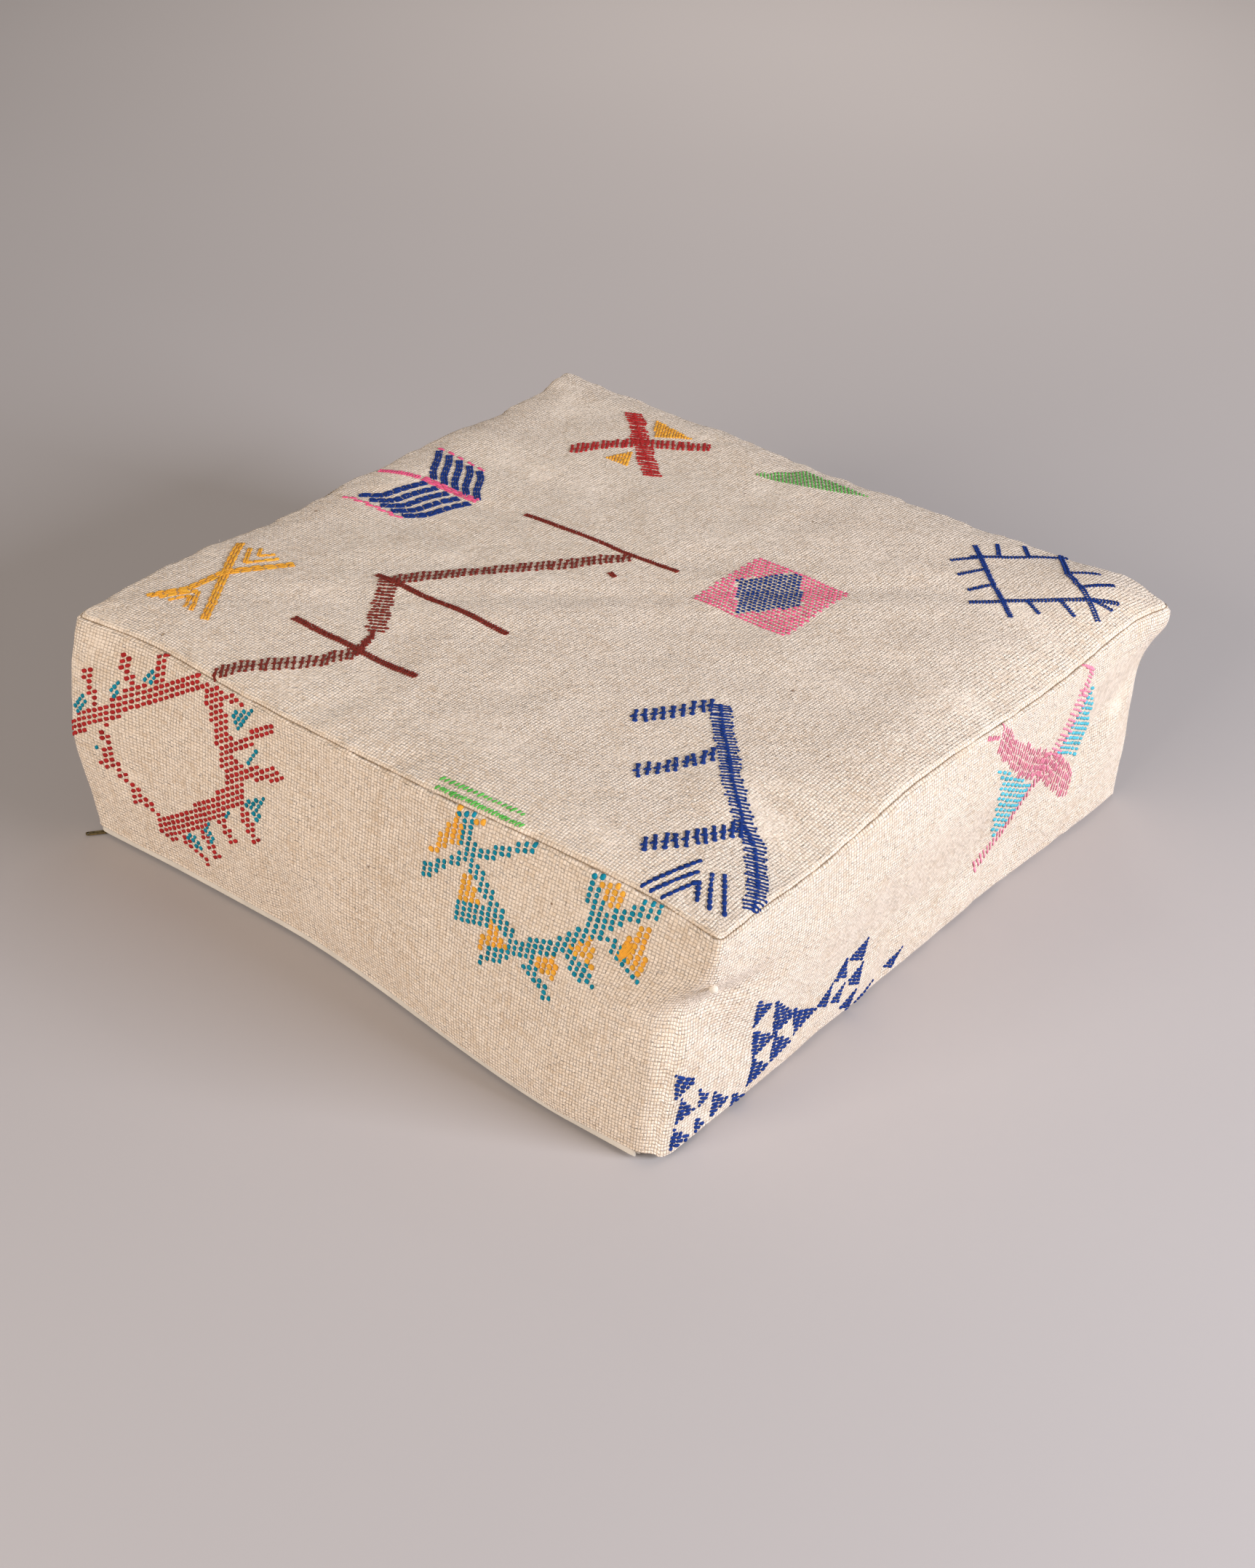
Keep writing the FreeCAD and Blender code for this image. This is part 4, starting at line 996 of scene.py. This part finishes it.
def top_motifs():
    """Stitches of the top panel's motifs by CAD node, each with its thread."""
    russet = fishbone(11, [(134, 2), (142, 19), (159, 38), (184, 63), (197, 90), (188, 121)],
                      14, 5.0, 126, **ZIGZAG_KNOTS)
    russet += ladder(12, [(188, 121), (168, 148), (144, 185)], 16, 4.4, 34, 4, 2.8)
    russet += fishbone(13, [(144, 185), (259, 346)], 13, 4.8, 124, **ZIGZAG_KNOTS)
    russet += several(14, chain, (
        ([(130, 94), (255, 93)], 6.5, 2.4), ([(131, 185), (265, 184)], 5.5, 2.4),
        ([(149, 344), (302, 349)], 4.5, 2.4), ([(262, 312), (269, 309)], 5, 2.0),
    ))
    orange = several(21, satin, (
        ([(19, 154), (47, 109), (81, 49)], 7), ([(74, 154), (45, 109)], 8),
        ([(45, 109), (42, 74), (27, 47)], 6.5),
        ([(31, 152), (46, 131), (59, 154)], 4, 2), ([(37, 157), (45, 146), (52, 157)], 3, 2),
        ([(35, 51), (50, 77), (65, 52)], 4, 2), ([(43, 52), (51, 68), (58, 52)], 3, 2),
    ))
    feather = []
    pink = chain(51, [(9, 321), (47, 332)], 5, 2.4) + satin(52, [(47, 332), (104, 336)], 7.5)
    for index in range(FEATHER_STRIPES):
        step = index * FEATHER_STEP
        feather += satin(31 + index, [(23 + step, 380 - index), (33 + step, 367), (45 + step, 347),
                                      (55 + step, 337)], 6.2)
        feather += satin(41 + index, [(54 + step, 329), (48 + step, 312), (42 + step, 289),
                                      (28 + step, 274)], 7.0)
        pink += satin(53 + index, [(18 + step, 384 - index), (26 + step, 383 - index)], 2.6, 1)
        pink += satin(60 + index, [(19 + step, 264 + index), (32 + step, 269 + index)], 2.6, 1)
    red = fishbone(71, [(94, 564), (137, 515), (182, 471)], 15, 4.6, 34, **CROSS_KNOTS)
    red += fishbone(72, [(186, 554), (137, 518), (100, 460)], 15, 4.6, 122, **CROSS_KNOTS)
    wedges = [[(116, 568), (136, 535), (164, 557)], [(142, 495), (133, 468), (156, 470)]]
    leaf = [(241, 535), (290, 548), (338, 577), (269, 583)]
    square = [(334, 321), (423, 324), (422, 413), (334, 414)]
    rhombus = [(374, 328), (407, 369), (374, 413), (344, 369)]
    lattice = several(81, chain, (
        [[(452, 554), (492, 509), (536, 468)]], [[(499, 466), (566, 534), (582, 548)]],
    ), 4.68, 2.6, 1.7)
    lattice += several(83, chain, (
        [[(582, 518), (532, 556), (508, 598)]], [[(460, 533), (486, 558), (515, 597)]],
    ), 4.32, 2.6, 1.7)
    lattice += several(85, chain, (
        [[(480, 522), (469, 497)]], [[(499, 504), (486, 480)]], [[(531, 499), (548, 489)]],
        [[(548, 517), (569, 507)]], [[(475, 553), (462, 574)]], [[(492, 572), (479, 589)]],
        [[(532, 558), (551, 575)]], [[(550, 541), (568, 567)]], [[(468, 540), (450, 515)]],
        [[(566, 534), (584, 537)]],
    ), 3.6, 2.6, 1.7)
    branch = fishbone(101, [(444, 211), (466, 184), (485, 164), (509, 136), (543, 104), (560, 93), (586, 60),
                            (598, 38)], 14.5, 3.7, 36, **COLUMN_KNOTS)
    branch += several(102, fishbone, (
        [[(406, 153), (444, 210)]], [[(451, 98), (466, 123), (482, 160)]],
        [[(508, 32), (527, 60), (544, 103)]],
    ), 14, 7.4, 126, **ARM_KNOTS)
    chevrons = several(111, dashes, (
        [[(533, 2), (547, 50)]], [[(540, 2), (552, 39)]], [[(549, 2), (557, 29)]],
        [[(588, 19), (564, 52)]], [[(578, 16), (559, 45)]], [[(568, 16), (557, 33)]],
    ), 5.0, 3.8)
    rows = ladder(121, [(352, 12), (428, 13)], 4.4, 4.2, 62, 1, 2.3)
    rows += ladder(122, [(355, 4), (433, 4)], 4.4, 3.0, 62, 1, 2.0)
    return (
        ("top_russet_zigzag", "thread_russet", russet),
        ("top_orange_hourglass", "thread_orange", orange),
        ("top_navy_feather", "thread_navy", feather),
        ("top_pink_line", "thread_pink", pink),
        ("top_red_cross", "thread_red", red),
        ("top_orange_wedges", "thread_orange", hatch(wedges, 118, 2.6, 73, 2.7)),
        ("top_green_leaf", "thread_green", hatch([leaf], 124, 3.2, 74, 1.5)),
        ("top_pink_square", "thread_pink", seeds([square], 0, 4.3, 4.3, 75, 0.82, 2.4, [rhombus])),
        ("top_navy_rhombus", "thread_navy", seeds([rhombus], 0, 3.9, 4.2, 76, 0.8, 2.5)),
        ("top_navy_lattice", "thread_navy", lattice),
        ("top_navy_branch", "thread_navy", branch),
        ("top_navy_chevrons", "thread_navy", chevrons),
        ("top_green_rows", "thread_green", rows),
    )


def front_motifs():
    """Stitches of the front wall's motifs."""
    red_ring = bands(
        (15, (33, 118), (61, 150), (125, 193)), (20, (137, 193), (165, 110)),
        (18, (165, 110), (122, 69), (80, 31)), (8, (37, 106), (40, 79), (58, 59), (84, 41)),
        (9, (31, 123), (20, 157)), (10, (64, 152), (48, 183)), (12, (84, 174), (81, 198)),
        (14, (30, 121), (2, 92)), (9, (163, 152), (202, 186)), (12, (167, 130), (209, 146)),
        (11, (164, 110), (183, 73)), (9, (138, 87), (157, 60)), (9, (116, 63), (135, 35)),
        (7, (90, 43), (125, 23)), (7, (138, 191), (170, 194)), (11, (57, 63), (59, 49)),
        (10, (36, 87), (33, 70)),
    )
    teal_wedges = [
        [(38, 138), (48, 165), (51, 144)], [(65, 166), (77, 190), (80, 170)],
        [(2, 103), (17, 133), (24, 125)], [(27, 96), (29, 76), (34, 88)],
        [(157, 179), (181, 194), (165, 164)], [(169, 136), (186, 162), (180, 135)],
        [(171, 108), (193, 120), (185, 90)], [(140, 88), (158, 99), (151, 74)],
        [(120, 61), (133, 79), (135, 43)], [(100, 36), (114, 48), (120, 34)],
        [(46, 66), (55, 57), (54, 67)], [(68, 52), (78, 35), (78, 49)],
    ]
    teal_ring = bands(
        (13, (388, 198), (396, 164), (429, 131), (448, 114)),
        (14, (448, 114), (491, 138), (509, 160), (500, 197)),
        (9, (353, 132), (396, 167), (449, 198)), (12, (509, 164), (552, 198)),
    ) + [
        [(384, 104), (387, 127), (429, 137), (424, 118)], [(415, 85), (418, 100), (446, 121), (443, 102)],
        [(455, 105), (464, 116), (491, 91), (484, 86)], [(490, 133), (499, 120), (525, 112), (515, 133)],
        [(513, 160), (523, 149), (554, 134), (546, 152), (528, 162)],
    ]
    orange = [
        [(361, 155), (382, 197), (386, 173)], [(387, 123), (395, 151), (407, 134)],
        [(415, 100), (422, 125), (436, 111)], [(468, 113), (485, 128), (489, 105)],
        [(496, 138), (508, 152), (516, 131)], [(531, 152), (546, 182), (553, 140)],
        [(504, 193), (527, 197), (517, 179)], [(394, 194), (422, 198), (402, 198)],
    ]
    tuft = [(529 + 0.8 * k, 148 - 0.5 * k, 534 + 1.3 * k, 164 + 0.6 * (k % 3), 1.5) for k in range(7)]
    return (
        ("front_red_ring", "thread_red", seeds(red_ring, seed=201, **RED_ROWS)),
        ("front_teal_wedges", "thread_teal", seeds(teal_wedges, 60, 4.4, 5.0, 202, 0.85, 3.6, red_ring)),
        ("front_teal_ring", "thread_teal", seeds(teal_ring, seed=203, holes=orange, **TEAL_ROWS)),
        ("front_orange_wedges", "thread_orange",
         seeds(grown(orange, 1.25), 84, 5.4, 4.8, 204, 0.92, 4.6) + tuft),
    )


def right_motifs():
    """Stitches of the right wall's motifs."""
    wedges = [
        [(10, 71), (31, 56), (13, 51)], [(20, 46), (36, 27), (18, 28)], [(37, 44), (48, 33), (40, 28)],
        [(52, 32), (66, 16), (53, 9)], [(17, 22), (36, 3), (16, 6)], [(40, 17), (48, 8), (40, 3)],
        [(71, 101), (86, 88), (76, 75)], [(78, 68), (99, 49), (84, 41)], [(92, 86), (121, 52), (100, 51)],
        [(102, 46), (122, 26), (102, 22)], [(84, 37), (99, 21), (84, 14)], [(122, 54), (150, 35), (126, 31)],
        [(71, 16), (84, 3), (72, 3)], [(153, 37), (169, 49), (165, 30)], [(171, 50), (183, 65), (187, 45)],
        [(188, 61), (207, 70), (207, 51)], [(168, 30), (186, 38), (182, 23)],
        [(191, 37), (207, 45), (208, 25)],
        [(186, 13), (206, 20), (203, 3)], [(209, 3), (239, 14), (221, 3)], [(249, 16), (268, 24), (261, 7)],
    ]
    rising_arm = [(346, 189), (369, 159), (396, 136), (449, 105)]
    falling_arm = [(448, 108), (411, 76), (361, 48)]
    pink = several(301, ladder, (
        ([(326, 197), (346, 189)], 5, 4.0, 40, 1, 2.4), (rising_arm + [(501, 59)], 26, 4.6, 70, 4, 1.6),
        ([(472, 198), (484, 188), (474, 163)], 11, 4.4, 130, 2, 2.2),
        ([(477, 168), (451, 112)], 26, 4.4, 148, 3, 2.0), (falling_arm, 14, 4.4, 118, 2, 2.0),
    ))
    aqua = [[(349, 154), (435, 92), (378, 68)], [(484, 173), (458, 114), (508, 81), (518, 109)]]
    clear = bands((12, *rising_arm), (9, *falling_arm))
    return (
        ("right_navy_wedges", "thread_navy", hatch(grown(wedges, 1.22), 150, 2.9, 306, 3.0, 8.0, 0.6)),
        ("right_pink_cross", "thread_pink", pink),
        ("right_aqua_wedges", "thread_aqua", seeds(aqua, 150, 4.4, 9.5, 307, 0.74, 3.2, clear, 0.0)),
    )


def left_motifs():
    """Plainer versions of the same ornaments on the two walls that face away."""
    zigzag = [(170 + 42.0 * index, 60 if index % 2 == 0 else 140) for index in range(7)]
    russet = []
    for index, ends in enumerate(zip(zigzag, zigzag[1:])):
        russet += ladder(401 + index, ends, 12, 3.8, 90 if index % 2 == 0 else 45, 3, 2.8)
    return (("left_russet_zigzag", "thread_russet", russet),)


def back_motifs():
    cross = bands((13, (330, 150), (390, 100), (450, 50)), (13, (330, 50), (390, 100), (450, 150)))
    wedges = [[(372, 152), (408, 152), (390, 122)], [(372, 48), (408, 48), (390, 78)]]
    return (
        ("back_teal_cross", "thread_teal", seeds(cross, seed=411, **TEAL_ROWS)),
        ("back_orange_wedges", "thread_orange", seeds(wedges, 84, 5.6, 4.4, 412, 0.86, 3.4)),
    )


# ---------------------------------------------------------------- insert
def soft_box(inset, rounding, cells=26):
    """Closed rounded box inside the cover as points and quads, settled with it."""
    half = np.array([HALF - inset, HALF - inset, TALL / 2 - inset])
    middle = np.array([0, 0, TALL / 2])
    a, b = np.meshgrid(*[np.linspace(-1, 1, cells + 1)] * 2)
    one = np.ones_like(a)
    sides = ((a, b, one), (a, -b, -one), (a, -one, b), (-a, one, b), (one, a, b), (-one, -a, b))
    points = np.concatenate([np.stack(side, -1).reshape(-1, 3) for side in sides]) * half + middle
    faces = [face for number in range(len(sides))
             for face in grid_faces(cells + 1, cells + 1, number * (cells + 1) ** 2)]
    core = np.clip(points, middle - half + rounding, middle + half - rounding)
    away = points - core
    distance = np.linalg.norm(away, axis=1, keepdims=True)
    points = core + away / np.maximum(distance, 1e-6) * np.minimum(distance, rounding)
    return settle(points, foot_share=0.5), faces


def soft_piece(name, inset, rounding, material, slot_name, node):
    piece = mesh_object(name, *soft_box(inset, rounding))
    piece.modifiers.new("weld", "WELD").merge_threshold = 0.5 * MM
    finish_piece(piece, material, slot_name, [node])


# ---------------------------------------------------------------- seams and zip
SEAM_STITCH = 3.2
SEAM_RADIUS = 0.38
SEAM_DEPTH = 1.25
FIBRE_LONG = 3.0
FIBRE_RADIUS = 0.13
FIBRE_MARGIN = 4.0                # fibres keep this far from a panel's edges
LINT_RADIUS = 3.2
LINT_AT = (8.0, 153.0)            # past the near corner, and above the floor
TAPE_HIGH = 4.7                   # the flat part of the zip tapes above the floor


def tube(line, radius, sides):
    """Round thread along a line of points."""
    course = np.gradient(line, axis=0)
    course /= np.linalg.norm(course, axis=1, keepdims=True) + 1e-12
    helper = np.where(np.abs(course[:, 2:3]) > 0.9, [[1.0, 0, 0]], [[0, 0, 1.0]])
    side = np.cross(helper, course)
    side /= np.linalg.norm(side, axis=1, keepdims=True)
    up = np.cross(course, side)
    angle = np.arange(sides) * 2 * math.pi / sides
    rings = (line[:, None, :] + radius[:, None, None] * (side[:, None, :] * np.cos(angle)[None, :, None]
                                                         + up[:, None, :] * np.sin(angle)[None, :, None]))
    last = (len(line) - 1) * sides
    faces = grid_faces(len(line), sides, closed=True)
    faces += [list(range(sides))[::-1], list(range(last, last + sides))]
    travel = np.concatenate([[0], np.cumsum(np.linalg.norm(np.diff(line, axis=0), axis=1))])
    uvs = np.stack(np.broadcast_arrays(travel[:, None], np.arange(sides)[None, :] / sides), -1).reshape(-1, 2)
    return rings.reshape(-1, 3), faces, uvs


def thread_line(name, lines, radius, material, slot_name, nodes=(), sides=6):
    """One piece of sewing thread made of several stitches, each a short line of points."""
    all_points, all_faces, all_uvs, count = [], [], [], 0
    for line in lines:
        swell = radius * (0.55 + 0.45 * np.sin(np.linspace(0, math.pi, len(line))))
        points, faces, uvs = tube(line, swell, sides)
        all_points.append(points)
        all_faces += [[corner + count for corner in face] for face in faces]
        all_uvs.append(uvs)
        count += len(points)
    piece = mesh_object(name, np.concatenate(all_points), all_faces, np.concatenate(all_uvs),
                        tint=np.full(count, 0.5))
    finish_piece(piece, material, slot_name, nodes)


def loose_fibres(name, panel, count, seed, low=FIBRE_MARGIN):
    """Fine curved hairs that stand out of a panel's cloth above the height low."""
    rng = np.random.default_rng(seed)
    feet, normals = panel.at(rng.uniform(FIBRE_MARGIN, panel.u[-1] - FIBRE_MARGIN, count),
                             rng.uniform(low, panel.v[-1] - FIBRE_MARGIN, count))
    share = np.linspace(0, 1, 4)[:, None]
    lines = []
    for foot, normal in zip(feet, normals):
        length = FIBRE_LONG * rng.uniform(0.4, 1.0)
        course = normal * rng.uniform(0.2, 1.0) + rng.normal(0, 0.6, 3)
        course /= max(1.0, np.linalg.norm(course))
        lines.append(foot + normal * 0.4 + length * (course * share + rng.normal(0, 0.25, 3) * share ** 2))
    thread_line(name, lines, FIBRE_RADIUS, LINT, "cover_cloth", sides=3)


def seam_stitches(start, stop, place):
    """Short stitches sunk in a seam; place gives (s, height) for how far the seam has run."""
    lines = []
    for index in range(int((stop - start) // SEAM_STITCH)):
        s, height = place(start + (index + np.linspace(0.08, 0.92, 5)) * SEAM_STITCH)
        plain = wall_plain(s, height)
        sunk = SEAM_DEPTH + 0.35 * (1 - np.sin(np.linspace(0, math.pi, 5)))
        lines.append(settle(plain) + GIVE.wall(s, height) - outward(plain) * sunk[:, None])
    return lines


def strip(name, s, profile):
    """Cloth strip along the walls; profile gives (inset, z, how far it follows the spreading foot)."""
    x, y = around(s)
    x, y = round_corners(x, y, np.full_like(x, 20.0))
    rows = []
    for inset, z, follow in profile:
        plain = np.stack([x * (1 - inset / HALF), y * (1 - inset / HALF), np.full_like(x, z)], -1)
        rows.append(settle(plain, folds=follow > 0.5, foot_share=follow) * [1, 1, 0] + [0, 0, 1] * plain)
    level = np.cumsum([0] + [math.dist(a[:2], b[:2]) for a, b in zip(profile, profile[1:])])
    uv = np.stack(np.meshgrid(s * MM, level * MM), -1).reshape(-1, 2)
    return mesh_object(name, np.stack(rows).reshape(-1, 3), grid_faces(len(profile), len(s)), uv)


# ---------------------------------------------------------------- scene
make_camera()
make_light()
bpy.context.scene.view_settings.view_transform = "Standard"
CREAM = (0.875, 0.70, 0.53, 1)
GAP = (0.40, 0.26, 0.14, 1)
COVER_TOP = woven_cloth("handwoven_cover_top", CREAM, GAP, pitch_mm=2.5, gap_share=0.5,
                        nap=0.42, fleck_share=0.28, bump_mm=0.9)
COVER_WALLS = woven_cloth("handwoven_cover_walls", CREAM, GAP, pitch_mm=2.9, gap_share=0.62,
                          nap=0.14, fleck_share=0.16, bump_mm=1.1)
BASE = woven_cloth("base_cloth", (0.72, 0.64, 0.53, 1), (0.42, 0.31, 0.2, 1), pitch_mm=1.6, gap_share=0.6,
                   nap=0.0, fleck_share=0.05, bump_mm=0.3)
TAPE = tape_cloth("zip_tape_cotton", (0.68, 0.59, 0.48, 1), rib_mm=1.1)
CASING_CLOTH = tape_cloth("casing_cotton", (0.86, 0.84, 0.79, 1), rib_mm=0.7)
BRASS = aged_brass("aged_brass")
LINT = yarn("cotton_fibre", (0.80, 0.68, 0.54, 1), sheen=0.2)
# the seam thread's dark brown is partly the thread's own colour and partly painted shade that darkens the
# line of the seam crease
SEAM_THREAD_SHADE = yarn("seam_thread", (0.40, 0.27, 0.155, 1))
YARNS = {name: yarn(name, (*colour, 1)) for name, colour in {
    "thread_orange": (0.92, 0.40, 0.04),
    "thread_russet": (0.195, 0.022, 0.012),
    "thread_navy": (0.008, 0.034, 0.185),
    "thread_pink": (0.88, 0.12, 0.24),
    "thread_red": (0.43, 0.020, 0.018),
    "thread_green": (0.12, 0.48, 0.08),
    "thread_teal": (0.005, 0.23, 0.31),
    "thread_aqua": (0.09, 0.47, 0.55),
    "thread_blue": (0.02, 0.06, 0.42),
}.items()}
# a paler pink, used only for the cross on the right wall
RIGHT_WALL_PINK = {"right_pink_cross": yarn("thread_pink_pale", (0.90, 0.27, 0.36, 1))}

top = flat_panel(True)
front_right = wall_panel(0.0)
back_left = wall_panel(2 * SIDE)
bottom = flat_panel(False, front_edge=15.0)
bottom.points = bottom.points[:, ::-1]        # its cloth faces down
for panel, name, node, cloth, slot_name in (
    (top, "cover_top", "top_panel", COVER_TOP, "cover_cloth"),
    (front_right, "cover_front_right", "wall_front_right", COVER_WALLS, "cover_cloth"),
    (back_left, "cover_back_left", "wall_back_left", COVER_WALLS, "cover_cloth"),
    (bottom, "cover_bottom", "bottom_panel", BASE, "base_cloth"),
):
    piece = thicken(panel.piece(name), CLOTH)
    finish_piece(piece, cloth, slot_name, [node])

ROUNDED = 45.0                    # corner radius of the insert
INSERT = 2 * CLOTH + EASE
soft_piece("insert_casing_cloth", INSERT, ROUNDED, CASING_CLOTH, "casing_cloth", "insert_casing")
soft_piece("insert_wadding", INSERT + CASING, ROUNDED - 1, wadding_material("wadding"), "wadding",
           "wadding_wrap")
soft_piece("insert_foam", INSERT + CASING + WADDING, ROUNDED - 13, foam_material("foam"), "foam", "foam_core")

for seam, start, stop, place in (
    ("top", 0, LOOP, lambda run: (run, TALL)),
    ("bottom", SIDE + 10, LOOP - MOUTH_BACK - 4, lambda run: (run, 0.0)),
    ("left", 9, TALL - 3, lambda run: (0.0, run)),
    ("right", 3, TALL - 3, lambda run: (2 * SIDE, run)),
):
    lines = seam_stitches(start, stop, place)
    thread_line("seam_" + seam, lines, SEAM_RADIUS, SEAM_THREAD_SHADE, "seam_thread", [seam + "_seam_thread"])

ABOVE_ZIP = 45.0
loose_fibres("fibres_top", top, 2600, 601)
loose_fibres("fibres_front_right", front_right, 2600, 602, ABOVE_ZIP)
loose_fibres("fibres_back_left", back_left, 1600, 603, ABOVE_ZIP)
lint_foot, lint_normal = front_right.at(np.array([SIDE + LINT_AT[0]]), np.array([LINT_AT[1]]))
lint_line = lint_foot + lint_normal * np.linspace(-1.0, 4.5, 7)[:, None]
thread_line("lint_ball", [lint_line], LINT_RADIUS, LINT, "cover_cloth", sides=10)

# the lap hides the zip; the front tape runs down the wall and back to the front teeth
lap_s = np.arange(-13.0, SIDE - 14, 3.0)
lap = thicken(strip("lap_strip", lap_s, [(1.5, z, 1.0) for z in (2.7, 3.2, 6, 10, LAP_TOP)]), CLOTH)
finish_piece(lap, TAPE, "zip_tape", ["zip_lap"])
front_tape = strip("tape_front", np.arange(4.0, SIDE - 9, 3.0), [
    (2.9, 14, 1.0), (2.9, 8, 1.0), (3.1, 5.0, 1.0), (5.5, TAPE_HIGH, 0.6),
    (HALF + TEETH_FRONT, TAPE_HIGH, 0.0)])
finish_piece(thicken(front_tape, TAPE_CLOTH), TAPE, "zip_tape", ["zip_tape_front"])
rear_x, rear_y = np.meshgrid(
    np.linspace(REAR_LOW[0], REAR_HIGH[0], 190), np.linspace(REAR_HIGH[1], REAR_LOW[1], 7))
rear_place = np.stack([rear_x, rear_y, 0 * rear_x], -1)
rear_place[..., 2] = TAPE_HIGH + 0.15 * lattice_noise(rear_place, 12, 21)
rear_tape = mesh_object("tape_rear", rear_place.reshape(-1, 3), grid_faces(*rear_x.shape))
finish_piece(thicken(rear_tape, TAPE_CLOTH), TAPE, "zip_tape", ["zip_tape_rear"])

for metal in ("zip_teeth_rear", "zip_teeth_front", "zip_top_stop", "zip_end_box", "zip_slider", "zip_pull"):
    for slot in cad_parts[metal].material_slots:
        slot.material = BRASS
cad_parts["zip_bartack"].material_slots[0].material = YARNS["thread_blue"]

sewing_seed = 500
for shift, panel, motifs in (
    (0.0, top, top_motifs()), (0.0, front_right, front_motifs()), (SIDE, front_right, right_motifs()),
    (SIDE, back_left, left_motifs()), (0.0, back_left, back_motifs()),
):
    for node, thread, stitches in motifs:
        sewing_seed += 1
        piece = sew("sewn_" + node, panel, moved(stitches, shift), sewing_seed)
        finish_piece(piece, RIGHT_WALL_PINK.get(node, YARNS[thread]), thread, [node])

FLOOR = 6000.0                    # half the width of the floor
corners = [(-FLOOR, -FLOOR, 0), (FLOOR, -FLOOR, 0), (FLOOR, FLOOR, 0), (-FLOOR, FLOOR, 0)]
floor = mesh_object("studio_floor", corners, [(0, 1, 2, 3)])
floor.data.materials.append(floor_material())
